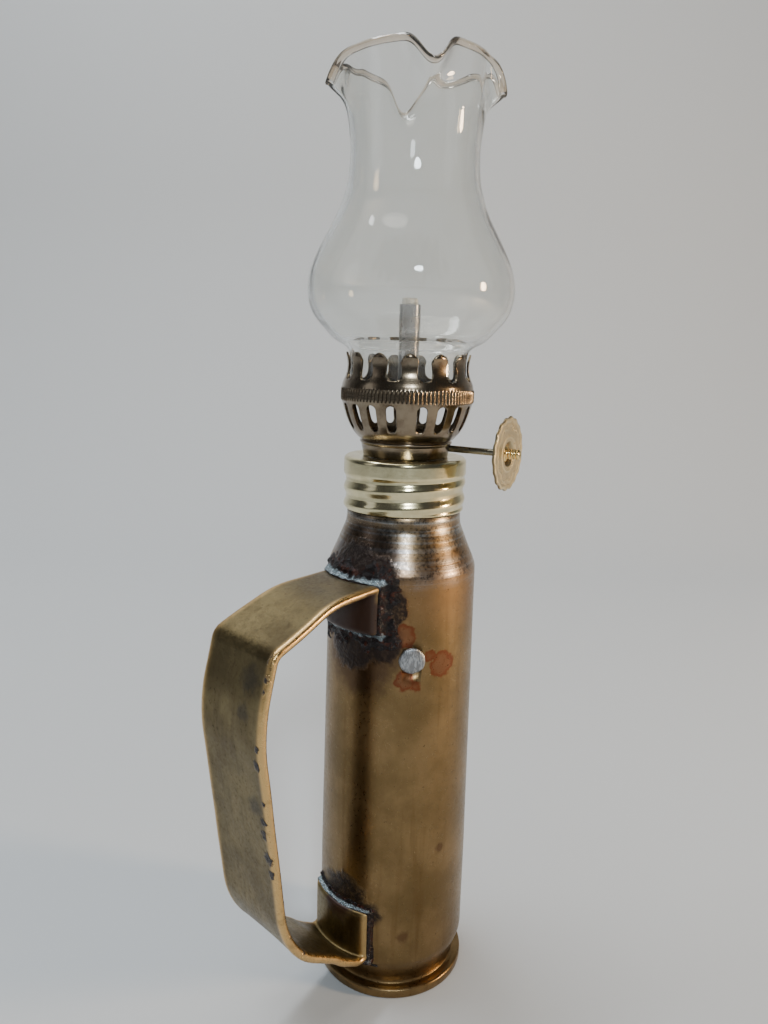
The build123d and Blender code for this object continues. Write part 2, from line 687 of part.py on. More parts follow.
def main():
    os.makedirs("parts", exist_ok=True)
    case = make_shell_case()
    handle = make_handle()
    pieces = {
        "shell_case": case,
        "primer_cup": make_primer_cup(),
        "primer_insulator": make_primer_insulator(),
        "primer_button": make_primer_button(),
        "flash_hole_plug": make_flash_hole_plug(),
        "hole_plug": make_hole_plug(case),
        "neck_collar": make_neck_collar(),
        "handle": handle,
        "handle_solder_upper": make_handle_solder(UPPER_TAB_LOW, HANDLE_TOP, handle),
        "handle_solder_lower": make_handle_solder(LOWER_TAB_LOW, LOWER_TAB_HIGH, handle),
        "cap_gasket": make_cap_gasket(),
        "screw_cap": make_screw_cap(),
        "burner_drum": make_burner_drum(),
        "spindle_bracket": make_spindle_bracket(),
        "gallery_basket": make_gallery_basket(),
        "draft_plate": make_draft_plate(),
        "wick_tube": make_wick_tube(),
        "wick": make_wick(),
        "spindle": make_spindle(),
        "wick_sprocket": make_wick_sprocket(),
        "knob_disc": make_knob_disc(),
        "knob_stub": make_knob_stub(),
        "glass_chimney": make_glass_chimney(),
    }
    for name, shape in pieces.items():
        save(name, shape)


main()
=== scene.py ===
import math

import bmesh
import bpy
from mathutils import Matrix, Vector, noise
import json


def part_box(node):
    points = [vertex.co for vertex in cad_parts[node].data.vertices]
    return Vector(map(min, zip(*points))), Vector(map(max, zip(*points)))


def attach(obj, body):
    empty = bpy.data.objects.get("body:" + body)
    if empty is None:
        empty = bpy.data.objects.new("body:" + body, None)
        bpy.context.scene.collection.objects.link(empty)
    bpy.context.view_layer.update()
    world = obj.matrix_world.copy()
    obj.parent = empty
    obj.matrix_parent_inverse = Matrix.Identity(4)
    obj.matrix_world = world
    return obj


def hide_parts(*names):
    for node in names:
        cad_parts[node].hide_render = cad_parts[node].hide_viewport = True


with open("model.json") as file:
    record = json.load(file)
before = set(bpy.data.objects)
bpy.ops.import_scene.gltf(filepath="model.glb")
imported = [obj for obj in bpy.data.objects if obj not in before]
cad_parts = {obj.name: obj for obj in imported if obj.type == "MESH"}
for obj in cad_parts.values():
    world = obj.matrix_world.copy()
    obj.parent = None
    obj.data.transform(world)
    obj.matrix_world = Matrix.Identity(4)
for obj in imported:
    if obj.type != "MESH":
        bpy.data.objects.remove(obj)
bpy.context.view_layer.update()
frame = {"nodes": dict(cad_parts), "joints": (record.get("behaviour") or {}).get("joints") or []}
NODES = frame["nodes"]
MM = 0.001


# ---------------- sizes in millimetres, from the frame's boxes
def box_mm(node):
    low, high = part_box(node)
    return low / MM, high / MM


CASE_HIGH = box_mm("shell_case")[1]
CAP_LOW, CAP_HIGH = box_mm("screw_cap")
BASKET_LOW, BASKET_HIGH = box_mm("gallery_basket")
GLASS_LOW, GLASS_HIGH = box_mm("glass_chimney")
TUBE_LOW, TUBE_HIGH = box_mm("wick_tube")
HANDLE_SIDE = box_mm("handle")[0].y      # the edge of the strip nearest the camera
KNOB_JOINT = [joint for joint in frame["joints"] if joint["name"] == "knob_turn"][0]

RIM_RADIUS = CASE_HIGH.x
BODY_RADIUS = RIM_RADIUS - 0.2
CASE_TOP = CASE_HIGH.z
SHOULDER_TOP = CASE_TOP - 2.4
SHOULDER_BOTTOM = SHOULDER_TOP - 8.0
BODY_STRAIGHT_TOP = 25.0
SHOULDER_RADIUS = BODY_RADIUS - 0.6
NECK_RADIUS = 10.7
VIEWER_AZIMUTH = 225.0       # the side that faces the camera
SPINDLE_OUT = -Vector(KNOB_JOINT["axis"])
SPINDLE_FOOT = Vector(KNOB_JOINT["pos_m"]) / MM
KNOB_REACH = 19.1            # from the foot of the spindle to the middle of the knob
PLUG_AZIMUTH = 233.4
PLUG_HEIGHT = 69.6


# ---------------- small geometry tools
def polar(radius, azimuth, height):
    """Point at this radius, azimuth in degrees and height."""
    angle = math.radians(azimuth)
    return Vector((radius * math.cos(angle), radius * math.sin(angle), height))


def smooth_step(value):
    value = min(max(value, 0.0), 1.0)
    return value * value * (3 - 2 * value)


def case_radius(height):
    """Outer radius of the case at this height."""
    if height <= BODY_STRAIGHT_TOP:
        return BODY_RADIUS
    if height <= SHOULDER_BOTTOM:
        share = (height - BODY_STRAIGHT_TOP) / (SHOULDER_BOTTOM - BODY_STRAIGHT_TOP)
        return BODY_RADIUS + (SHOULDER_RADIUS - BODY_RADIUS) * share
    share = min((height - SHOULDER_BOTTOM) / (SHOULDER_TOP - SHOULDER_BOTTOM), 1.0)
    return SHOULDER_RADIUS + (NECK_RADIUS - SHOULDER_RADIUS) * share


def new_object(name, vertices, faces, material, smooth=True):
    """Mesh object from points in millimetres."""
    mesh = bpy.data.meshes.new(name)
    mesh.from_pydata([tuple(Vector(point) * MM) for point in vertices], [], faces)
    mesh.validate()
    if smooth:
        mesh.shade_smooth()
    mesh.materials.append(material)
    piece = bpy.data.objects.new(name, mesh)
    bpy.context.scene.collection.objects.link(piece)
    return piece


def tube_faces(rings, around, closed):
    """Quads between rings of points; closed joins the last ring to the first."""
    faces = []
    for ring in range(rings if closed else rings - 1):
        after = (ring + 1) % rings
        for step in range(around):
            beside = (step + 1) % around
            corners = ((ring, step), (ring, beside), (after, beside), (after, step))
            faces.append(tuple(row * around + place for row, place in corners))
    return faces


def end_faces(rings, around):
    """The faces that close the first and last ring."""
    return [tuple(reversed(range(around))), tuple((rings - 1) * around + step for step in range(around))]


def lathe(name, profile, material, around, shape=None, closed=True, ends=False):
    """Turned mesh from (radius, height) points. shape(radius, height, degrees, index) may move a point."""
    vertices = []
    for index, (radius, height) in enumerate(profile):
        for step in range(around):
            degrees = 360 * step / around
            spot = (radius, height) if shape is None else shape(radius, height, degrees, index)
            vertices.append(polar(spot[0], degrees, spot[1]))
    faces = tube_faces(len(profile), around, closed)
    if ends:
        faces += end_faces(len(profile), around)
    return new_object(name, vertices, faces, material)


def raised(base, points):
    """(radius, height) points moved up by a base height."""
    return [(radius, base + up) for radius, up in points]


def straight(radius, start, end, rows):
    """Evenly spaced points at one radius."""
    return [(radius, start + (end - start) * row / rows) for row in range(rows + 1)]


def arc(across, up, radius, start, end, parts):
    """Points on an arc about (across, up), from one angle in degrees to another."""
    angles = [math.radians(start + (end - start) * part / parts) for part in range(parts + 1)]
    return [(across + radius * math.cos(angle), up + radius * math.sin(angle)) for angle in angles]


def direction(points, index):
    """Direction of a path at one of its points."""
    before = points[max(index - 1, 0)]
    after = points[min(index + 1, len(points) - 1)]
    return Vector((after[0] - before[0], after[1] - before[1])).normalized()


def inward(outline, wall):
    """An outline moved in by the wall's thickness."""
    moved = []
    for index, (radius, level) in enumerate(outline):
        along = direction(outline, index)
        moved.append((radius - wall * along.y, level + wall * along.x))
    return moved


def rounded(points, radii, step):
    """Points along straight runs joined by tangent arcs, about one step apart on the arcs."""
    path = [Vector(points[0])]
    for index in range(1, len(points) - 1):
        corner = Vector(points[index])
        back = (Vector(points[index - 1]) - corner).normalized()
        ahead = (Vector(points[index + 1]) - corner).normalized()
        half = back.angle(ahead) / 2
        radius = radii[index - 1]
        reach = radius / math.tan(half)
        centre = corner + (back + ahead).normalized() * (radius / math.sin(half))
        start = corner + back * reach
        end = corner + ahead * reach
        count = max(3, int(radius * (math.pi - 2 * half) / step))
        first = start - centre
        last = end - centre
        for part in range(count + 1):
            share = part / count
            arm = first.lerp(last, share).normalized() * radius
            path.append(centre + arm)
    path.append(Vector(points[-1]))
    return path


def resample(path, spacing):
    """Evenly spaced points along a path."""
    result = [path[0].copy()]
    carry = 0.0
    for before, after in zip(path, path[1:]):
        length = (after - before).length
        while carry + length >= spacing:
            share = (spacing - carry) / length
            before = before.lerp(after, share)
            result.append(before.copy())
            length = (after - before).length
            carry = 0.0
        carry += length
    if (result[-1] - path[-1]).length > spacing * 0.3:
        result.append(path[-1].copy())
    return result


def curve_through(points, parts):
    """Catmull-Rom curve through 2D points."""
    padded = [points[0]] + list(points) + [points[-1]]
    curve = []
    for index in range(1, len(padded) - 2):
        p0, p1, p2, p3 = [Vector(padded[index + offset]) for offset in (-1, 0, 1, 2)]
        for part in range(parts):
            t = part / parts
            square = 2 * p0 - 5 * p1 + 4 * p2 - p3
            cube = 3 * p1 - p0 - 3 * p2 + p3
            curve.append(0.5 * (2 * p1 + (p2 - p0) * t + square * t**2 + cube * t**3))
    curve.append(Vector(points[-1]))
    return [(point.x, point.y) for point in curve]


def apply_modifiers(piece):
    bpy.context.view_layer.update()
    graph = bpy.context.evaluated_depsgraph_get()
    mesh = bpy.data.meshes.new_from_object(piece.evaluated_get(graph))
    old = piece.data
    piece.modifiers.clear()
    piece.data = mesh
    bpy.data.meshes.remove(old)


def fix_normals(piece):
    shape = bmesh.new()
    shape.from_mesh(piece.data)
    bmesh.ops.recalc_face_normals(shape, faces=shape.faces)
    shape.to_mesh(piece.data)
    shape.free()


def paint(piece, name, values):
    """Stores one number per point, which a material can read."""
    layer = piece.data.attributes.new(name, "FLOAT", "POINT")
    for index, value in enumerate(values):
        layer.data[index].value = value


def place_along(piece, spot, out):
    """Moves a piece modelled about Z so that its origin is at spot and its +Z points out."""
    turn = Vector((0, 0, 1)).rotation_difference(out).to_matrix().to_4x4()
    piece.data.transform(Matrix.Translation(spot * MM) @ turn)


def cut(piece, cutter):
    """Boolean difference, applied, and the cutter removed."""
    modifier = piece.modifiers.new("cut", "BOOLEAN")
    modifier.operation = "DIFFERENCE"
    modifier.object = cutter
    modifier.solver = "EXACT"
    apply_modifiers(piece)
    bpy.data.objects.remove(cutter)


def drill(piece, radius, low, high, around, spot, out):
    """Cuts a round hole from low to high along the axis that leaves spot in the direction out."""
    material = piece.data.materials[0]
    cutter = lathe("drill", [(radius, low), (radius, high)], material, around, closed=False, ends=True)
    fix_normals(cutter)
    place_along(cutter, spot, out)
    cut(piece, cutter)


def lump(x, y, z):
    """Smooth noise between about -1 and 1."""
    return noise.noise(Vector((x, y, z)))


PLUG_OUT = polar(1, PLUG_AZIMUTH, 0)
PLUG_SPOT = polar(case_radius(PLUG_HEIGHT), PLUG_AZIMUTH, PLUG_HEIGHT)


# ---------------- materials
class Finish:
    """Builds one procedural material. Positions are in millimetres in the part's frame."""

    def __init__(self, name, colour, metallic, roughness):
        self.material = bpy.data.materials.new(name)
        self.material.use_nodes = True
        self.tree = self.material.node_tree
        self.surface = self.tree.nodes["Principled BSDF"]
        self.put(self.surface, "Base Color", (*colour, 1))
        self.put(self.surface, "Metallic", metallic)
        self.put(self.surface, "Roughness", roughness)
        coordinates = self.node("TexCoord")
        self.mm = self.vector("SCALE", coordinates.outputs["Object"], scale=1 / MM)

    def put(self, node, name, value):
        """Sets an input to a number or colour, or links a socket to it."""
        socket = node.inputs[name]
        if isinstance(value, bpy.types.NodeSocket):
            self.tree.links.new(value, socket)
        else:
            socket.default_value = value

    def node(self, kind, **inputs):
        """New shader node. An input's name is its socket's, with _ for a space."""
        node = self.tree.nodes.new("ShaderNode" + kind)
        for name, value in inputs.items():
            self.put(node, name.replace("_", " "), value)
        return node

    def vector(self, operation, first, second=None, scale=None):
        node = self.node("VectorMath")
        node.operation = operation
        self.put(node, 0, first)
        if second is not None:
            self.put(node, 1, second)
        if scale is not None:
            self.put(node, "Scale", scale)
        return node.outputs["Value"] if operation == "DISTANCE" else node.outputs["Vector"]

    def math(self, operation, first, second):
        node = self.node("Math")
        node.operation = operation
        self.put(node, 0, first)
        self.put(node, 1, second)
        return node.outputs["Value"]

    def plus(self, first, second):
        return self.math("ADD", first, second)

    def minus(self, first, second):
        return self.math("SUBTRACT", first, second)

    def times(self, first, second):
        return self.math("MULTIPLY", first, second)

    def grain(self, scale, stretch=(1, 1, 1), detail=4.0, rough=0.55, twist=0.0, shift=0.0):
        """Noise whose features are about 1/scale millimetres across."""
        place = self.vector("MULTIPLY", self.mm, stretch)
        if shift:
            place = self.vector("ADD", place, (shift, shift * 0.7, shift * 1.3))
        node = self.node("TexNoise", Vector=place, Scale=scale, Detail=detail, Distortion=twist)
        self.put(node, "Roughness", rough)
        return node.outputs["Fac"]

    def ramp(self, value, start, end, low=0.0, high=1.0):
        """Smooth change from low to high while the value goes from start to end."""
        node = self.node("MapRange", Value=value, From_Min=start, From_Max=end, To_Min=low, To_Max=high)
        node.interpolation_type = "SMOOTHSTEP"
        return node.outputs["Result"]

    def blend(self, factor, first, second):
        """Colour mix."""
        node = self.node("Mix")
        node.data_type = "RGBA"
        node.clamp_factor = True
        for index, value in ((0, factor), (6, first), (7, second)):
            if isinstance(value, bpy.types.NodeSocket):
                self.tree.links.new(value, node.inputs[index])
            elif index == 0:
                node.inputs[index].default_value = value
            else:
                node.inputs[index].default_value = (*value, 1)
        return node.outputs[2]

    def height(self):
        """Height of the shaded point above the base, in millimetres."""
        return self.node("SeparateXYZ", Vector=self.mm).outputs["Z"]

    def near(self, point, radius, soft, wobble, scale, shift=0.0):
        """1 near a point and 0 away from it, with an uneven edge."""
        uneven = self.minus(self.grain(scale, detail=3, shift=shift), 0.5)
        distance = self.plus(self.vector("DISTANCE", self.mm, tuple(point)), self.times(uneven, wobble * 2))
        return self.ramp(distance, radius - soft / 2, radius + soft / 2, 1.0, 0.0)

    def near_any(self, spots):
        """1 near any of these spots, each given as the values that near takes."""
        values = [self.near(*spot) for spot in spots]
        result = values[0]
        for value in values[1:]:
            result = self.math("MAXIMUM", result, value)
        return result

    def attribute(self, name):
        node = self.node("Attribute")
        node.attribute_name = name
        return node.outputs["Fac"]

    def bump(self, layers):
        """Adds relief from (height socket, depth in millimetres) layers."""
        normal = None
        for value, depth in layers:
            node = self.node("Bump", Strength=1.0, Distance=depth * MM, Height=value)
            if normal is not None:
                self.put(node, "Normal", normal)
            normal = node.outputs["Normal"]
        self.put(self.surface, "Normal", normal)

    def colour(self, value):
        self.put(self.surface, "Base Color", value)

    def roughness(self, value):
        self.put(self.surface, "Roughness", value)

    def metallic(self, value):
        self.put(self.surface, "Metallic", value)


def case_finish():
    """Aged brass: brown patina, turning marks, heat-tinted shoulder, flux stains and burnt flux."""
    f = Finish("case_brass", (0.4, 0.27, 0.13), 1.0, 0.34)
    cloud = f.grain(0.09, detail=6, rough=0.6)
    streak = f.grain(0.5, stretch=(1, 1, 0.07), detail=3, shift=11)
    fine = f.grain(1.7, detail=5, rough=0.7, shift=5)
    height = f.height()
    turning = f.grain(1.5, stretch=(0.02, 0.02, 1), detail=4, rough=0.6)
    colour = f.blend(f.ramp(cloud, 0.35, 0.65), (0.255, 0.168, 0.078), (0.175, 0.115, 0.050))
    colour = f.blend(f.ramp(streak, 0.52, 0.75, 0, 0.6), colour, (0.15, 0.09, 0.035))
    colour = f.blend(f.ramp(fine, 0.6, 0.8, 0, 0.55), colour, (0.11, 0.06, 0.026))
    heat_edge = f.plus(height, f.times(f.minus(cloud, 0.5), 14))
    heat = f.ramp(heat_edge, 81, 87)
    patch = f.grain(0.22, detail=3, shift=17)
    banded = f.times(f.ramp(turning, 0.42, 0.62, 0.25, 1.0), f.ramp(patch, 0.38, 0.55, 0.35, 1.0))
    colour = f.blend(f.times(heat, f.times(banded, 0.85)), colour, (0.37, 0.38, 0.38))
    warm_band = f.times(f.ramp(height, 70, 82), f.ramp(height, 84, 92, 1, 0))
    colour = f.blend(f.times(warm_band, 0.35), colour, (0.33, 0.17, 0.08))
    places = [
        ((227.5, 74.2), 2.2, 3), ((257.5, 68.3), 2.5, 4), ((247.0, 70.2), 1.1, 5),
        ((228.5, 65.8), 1.9, 6), ((236.0, 64.6), 1.0, 8),
    ]
    spots = [(polar(14.1, *place), size, shift) for place, size, shift in places]
    stains = f.near_any([(spot, size, 0.5, 1.1, 0.7, shift) for spot, size, shift in spots])
    inside = f.near_any([(spot, size - 0.7, 0.9, 1.1, 0.7, shift) for spot, size, shift in spots])
    ring = f.minus(stains, f.times(inside, 0.35))
    colour = f.blend(f.times(ring, 0.95), colour, (0.15, 0.035, 0.008))
    smudge = f.near_any([
        (polar(14.6, 233.0, 13.6), 1.1, 1.2, 1.0, 0.8),
        (polar(14.4, 262.0, 31.0), 0.9, 0.8, 0.9, 0.8, 2),
        (polar(14.4, 300.0, 50.0), 1.0, 0.8, 0.9, 0.8, 4),
    ])
    colour = f.blend(f.times(smudge, 0.6), colour, (0.08, 0.035, 0.02))
    speck = f.ramp(f.grain(1.3, detail=2, shift=21), 0.72, 0.76)
    colour = f.blend(f.times(speck, 0.7), colour, (0.05, 0.03, 0.02))
    bruise = f.near_any([
        (polar(13.0, 184, 86.5), 8.0, 5.0, 3.0, 0.33),
        (polar(12.8, 205, 88.0), 4.2, 3.4, 2.6, 0.4, 2),
        (polar(14.1, 192, 70.5), 8.0, 4.0, 2.6, 0.4, 4),
    ])
    colour = f.blend(f.times(bruise, 0.62), colour, (0.055, 0.030, 0.026))
    soot = f.near_any([
        (polar(14.0, 183, 85.2), 5.5, 1.6, 2.2, 0.5, 5),
        (polar(14.0, 206, 84.6), 3.6, 1.2, 1.6, 0.5, 6),
        (polar(14.0, 214, 79.2), 3.9, 0.8, 1.2, 0.5, 9),
        (polar(14.1, 186, 71.6), 5.0, 1.4, 1.8, 0.5, 7),
        (polar(14.1, 212, 72.4), 3.5, 1.2, 1.6, 0.5, 8),
        (polar(14.2, 184, 19.4), 5.2, 2.4, 2.2, 0.5, 5),
        (polar(14.3, 207, 17.9), 2.3, 1.4, 1.2, 0.5, 7),
    ])
    crust = f.grain(1.2, detail=5, rough=0.7, shift=3)
    sooty = f.times(soot, f.ramp(crust, 0.3, 0.55, 0.55, 0.97))
    colour = f.blend(sooty, colour, (0.020, 0.011, 0.008))
    f.colour(colour)
    dull = f.ramp(fine, 0.35, 0.7, 0.27, 0.42)
    dull = f.minus(dull, f.times(heat, 0.03))
    f.roughness(f.math("MAXIMUM", dull, f.times(soot, 0.28)))
    f.metallic(f.minus(1.0, f.times(f.math("MAXIMUM", soot, stains), 0.35)))
    ridges = f.times(turning, f.ramp(height, 78, 86, 0.06, 1.0))
    f.bump([(ridges, 0.035), (fine, 0.008), (f.times(crust, soot), 0.3)])
    return f.material


def handle_finish():
    """Olive-brown brass sheet, bright along its rolled edges from wear and a painted glint of the warm light,
    with burnt spots.
    """
    f = Finish("handle_brass", (0.33, 0.27, 0.13), 1.0, 0.36)
    cloud = f.grain(0.12, detail=6, rough=0.6, shift=2)
    fine = f.grain(1.5, detail=6, rough=0.7, shift=7)
    streak = f.grain(0.8, stretch=(1, 1, 0.12), detail=4, shift=15)
    # edge: wear along the rolled edges together with a painted orange glint of the warm light
    edge = f.attribute("edge")
    colour = f.blend(f.ramp(cloud, 0.35, 0.65), (0.215, 0.165, 0.078), (0.135, 0.100, 0.046))
    colour = f.blend(f.ramp(streak, 0.5, 0.72, 0, 0.5), colour, (0.10, 0.072, 0.034))
    colour = f.blend(f.ramp(fine, 0.56, 0.72, 0, 0.7), colour, (0.06, 0.04, 0.02))
    # painted glint: the worn edges lightened to orange as if lit by the warm key light
    edge_wear_and_glint = f.times(edge, f.ramp(f.grain(0.5, detail=3, shift=30), 0.25, 0.45, 0.55, 1.0))
    colour = f.blend(edge_wear_and_glint, colour, (0.66, 0.43, 0.18))
    side = HANDLE_SIDE
    spots = [
        ((-36.3, side + 0.5, 76.0), 0.9, 0.5, 0.9), ((-37.9, side + 0.3, 73.2), 0.5, 0.4, 0.6),
        ((-38.9, side + 0.2, 71.4), 0.55, 0.4, 0.5), ((-39.8, side + 0.6, 61.8), 0.6, 0.4, 0.6),
        ((-39.5, side + 1.0, 58.9), 0.8, 0.5, 0.9), ((-38.9, side + 0.4, 52.0), 0.6, 0.4, 0.6),
        ((-38.5, side + 0.9, 48.4), 0.9, 0.5, 1.2), ((-38.0, side + 1.3, 45.8), 0.8, 0.5, 1.2),
        ((-37.4, side + 0.9, 41.5), 1.1, 0.5, 1.3), ((-37.0, side + 0.6, 38.4), 0.8, 0.4, 1.1),
        ((-33.6, side + 0.3, 25.4), 0.6, 0.5, 0.6), ((-30.2, side + 0.2, 20.4), 0.5, 0.4, 0.5),
    ]
    burnt = f.near_any([(*spot, 1.1, index) for index, spot in enumerate(spots)])
    colour = f.blend(burnt, colour, (0.022, 0.012, 0.010))
    bruise = f.near_any([
        ((-38.6, side + 4.2, 72.3), 2.3, 2.2, 1.8, 0.7, 3),
        ((-39.6, side + 4.8, 66.6), 1.5, 1.6, 1.2, 0.7, 4),
        ((-38.6, side + 3.2, 50.5), 1.6, 1.8, 1.2, 0.7, 6),
    ])
    colour = f.blend(f.times(bruise, 0.55), colour, (0.05, 0.045, 0.04))
    scorch = f.near_any([
        ((-15.6, -3.0, 78.0), 6.4, 2.6, 2.0, 0.4, 5),
        ((-15.0, 4.0, 78.0), 6.4, 2.6, 2.0, 0.4, 5),
        ((-15.2, -1.0, 19.0), 3.2, 2.6, 2.0, 0.5, 8),
    ])
    below = f.ramp(f.height(), 82.2, 83.0, 1.0, 0.25)
    scorch = f.times(scorch, below)
    colour = f.blend(f.times(scorch, 0.95), colour, (0.032, 0.010, 0.006))
    f.colour(colour)
    f.roughness(f.minus(f.ramp(fine, 0.3, 0.7, 0.30, 0.50), f.times(edge, 0.08)))
    f.metallic(f.minus(1.0, f.times(f.math("MAXIMUM", burnt, scorch), 0.75)))
    f.bump([(fine, 0.02), (cloud, 0.15), (f.times(burnt, fine), 0.3)])
    return f.material


def bright_finish(name, colour, dark, roughness, marks=0.5):
    """Polished sheet metal with faint haze, handling marks and fine lines round it."""
    f = Finish(name, colour, 1.0, roughness)
    haze = f.grain(0.35, detail=5, rough=0.65)
    lines = f.grain(5.0, stretch=(0.04, 0.04, 1), detail=3)
    speck = f.ramp(f.grain(2.2, detail=3, shift=9), 0.66, 0.74)
    tone = f.blend(f.ramp(haze, 0.4, 0.7, 0, marks), colour, dark)
    f.colour(f.blend(f.times(speck, marks * 0.8), tone, dark))
    f.roughness(f.ramp(haze, 0.3, 0.75, roughness, roughness + 0.14))
    f.bump([(lines, 0.006), (haze, 0.02)])
    return f.material


def knob_finish():
    """Satin pressed brass with faint tarnish in the hollows of its pattern and on its edge."""
    f = Finish("knob_brass", (0.70, 0.60, 0.40), 1.0, 0.36)
    hollow = f.attribute("hollow")
    haze = f.grain(1.1, detail=5, rough=0.7)
    marks = f.ramp(f.grain(1.7, detail=4, rough=0.7, shift=12), 0.56, 0.62, 0, 0.55)
    tone = f.blend(f.ramp(haze, 0.4, 0.7, 0, 0.4), (0.62, 0.54, 0.35), (0.46, 0.38, 0.23))
    tone = f.blend(marks, tone, (0.40, 0.30, 0.16))
    f.colour(f.blend(f.times(hollow, 0.75), tone, (0.26, 0.18, 0.09)))
    f.roughness(f.ramp(haze, 0.3, 0.7, 0.32, 0.46))
    f.bump([(f.grain(4.0, detail=3), 0.01), (marks, 0.03)])
    return f.material


def solder_finish():
    """Dull grey solder, scratched and lumpy."""
    f = Finish("solder_grey", (0.42, 0.43, 0.44), 1.0, 0.4)
    lump = f.grain(0.9, detail=5, rough=0.7)
    scratch = f.grain(2.4, stretch=(1, 1, 0.25), detail=4, twist=1.5, shift=4)
    grey = f.blend(f.ramp(scratch, 0.45, 0.6), (0.24, 0.25, 0.26), (0.44, 0.46, 0.48))
    f.colour(f.blend(f.ramp(lump, 0.6, 0.75, 0, 0.4), grey, (0.06, 0.05, 0.05)))
    f.roughness(f.ramp(lump, 0.35, 0.7, 0.34, 0.55))
    f.bump([(lump, 0.12), (scratch, 0.05)])
    return f.material


def flux_finish():
    """Blue-grey solder where it ran smooth, and glassy black and red-brown burnt flux round it."""
    f = Finish("solder_burnt", (0.02, 0.013, 0.011), 0.0, 0.25)
    metal = f.attribute("metal")
    lump = f.grain(0.8, detail=5, rough=0.7, shift=2)
    fine = f.grain(2.6, detail=4, rough=0.7, shift=6)
    crust = f.blend(f.ramp(lump, 0.48, 0.66), (0.008, 0.005, 0.005), (0.055, 0.012, 0.004))
    ash = f.ramp(fine, 0.63, 0.72, 0, 0.8)
    crust = f.blend(ash, crust, (0.16, 0.16, 0.17))
    grey = f.blend(f.ramp(fine, 0.4, 0.65), (0.20, 0.26, 0.29), (0.42, 0.49, 0.53))
    shown = f.ramp(f.plus(metal, f.times(f.minus(lump, 0.5), 1.4)), 0.50, 0.70)
    f.colour(f.blend(shown, crust, grey))
    f.metallic(shown)
    f.roughness(f.plus(f.ramp(lump, 0.35, 0.7, 0.08, 0.24), f.times(shown, 0.08)))
    f.put(f.surface, "Specular IOR Level", 0.3)
    f.bump([(lump, 0.45), (fine, 0.16)])
    return f.material


def glass_finish(name, colour, clear):
    """Thin blown glass with slow waves and a trace of haze."""
    f = Finish(name, colour, 0.0, 0.015)
    f.put(f.surface, "Transmission Weight", clear)
    f.put(f.surface, "IOR", 1.47)
    wave = f.grain(0.11, stretch=(1, 1, 0.5), detail=1)
    f.bump([(wave, 0.25)])
    return f.material


def cotton_finish():
    """Braided cotton wick, a little scorched at its tip."""
    f = Finish("wick_cotton", (0.86, 0.81, 0.70), 0.0, 0.85)
    weave = f.grain(3.2, stretch=(1, 1, 0.5), detail=3, twist=1.0)
    tone = f.blend(f.ramp(weave, 0.35, 0.65), (0.88, 0.84, 0.74), (0.70, 0.63, 0.50))
    tip = f.ramp(f.height(), TUBE_HIGH.z + 0.9, TUBE_HIGH.z + 1.5, 0.0, 0.6)
    f.colour(f.blend(tip, tone, (0.20, 0.14, 0.10)))
    f.put(f.surface, "Sheen Weight", 0.3)
    f.bump([(weave, 0.15)])
    return f.material


def plain_finish(name, colour, metallic, roughness):
    """Hidden or small parts: one colour broken up by fine grain."""
    f = Finish(name, colour, metallic, roughness)
    grain = f.grain(1.6, detail=5, rough=0.65)
    dark = tuple(channel * 0.55 for channel in colour)
    f.colour(f.blend(f.ramp(grain, 0.4, 0.7, 0, 0.7), colour, dark))
    f.roughness(f.ramp(grain, 0.3, 0.7, roughness - 0.06, roughness + 0.12))
    f.bump([(grain, 0.02)])
    return f.material


CASE = case_finish()
HANDLE = handle_finish()
CAP = bright_finish("cap_brass", (0.78, 0.69, 0.42), (0.44, 0.35, 0.18), 0.12, 0.3)
BURNER = bright_finish("burner_brass", (0.27, 0.215, 0.15), (0.10, 0.065, 0.04), 0.16, 0.7)
KNOB = knob_finish()
STUB = bright_finish("stub_brass", (0.80, 0.60, 0.27), (0.42, 0.27, 0.10), 0.16, 0.5)
SOLDER = solder_finish()
BURNT_SOLDER = flux_finish()
GLASS = glass_finish("chimney_glass", (0.95, 0.955, 0.93), 0.975)
LIP_GLASS = glass_finish("lip_glass", (0.80, 0.70, 0.58), 0.97)
COTTON = cotton_finish()
TUBE = bright_finish("tube_nickel", (0.52, 0.50, 0.48), (0.26, 0.23, 0.21), 0.2, 0.5)
SPINDLE = bright_finish("spindle_steel", (0.36, 0.33, 0.25), (0.15, 0.12, 0.07), 0.24, 0.7)
GASKET = plain_finish("gasket_fibre", (0.16, 0.09, 0.06), 0.0, 0.7)
PRIMER = plain_finish("primer_brass", (0.55, 0.40, 0.20), 1.0, 0.35)
BUTTON = plain_finish("primer_steel", (0.42, 0.41, 0.39), 1.0, 0.4)
INSULATOR = plain_finish("insulator", (0.06, 0.05, 0.05), 0.0, 0.5)


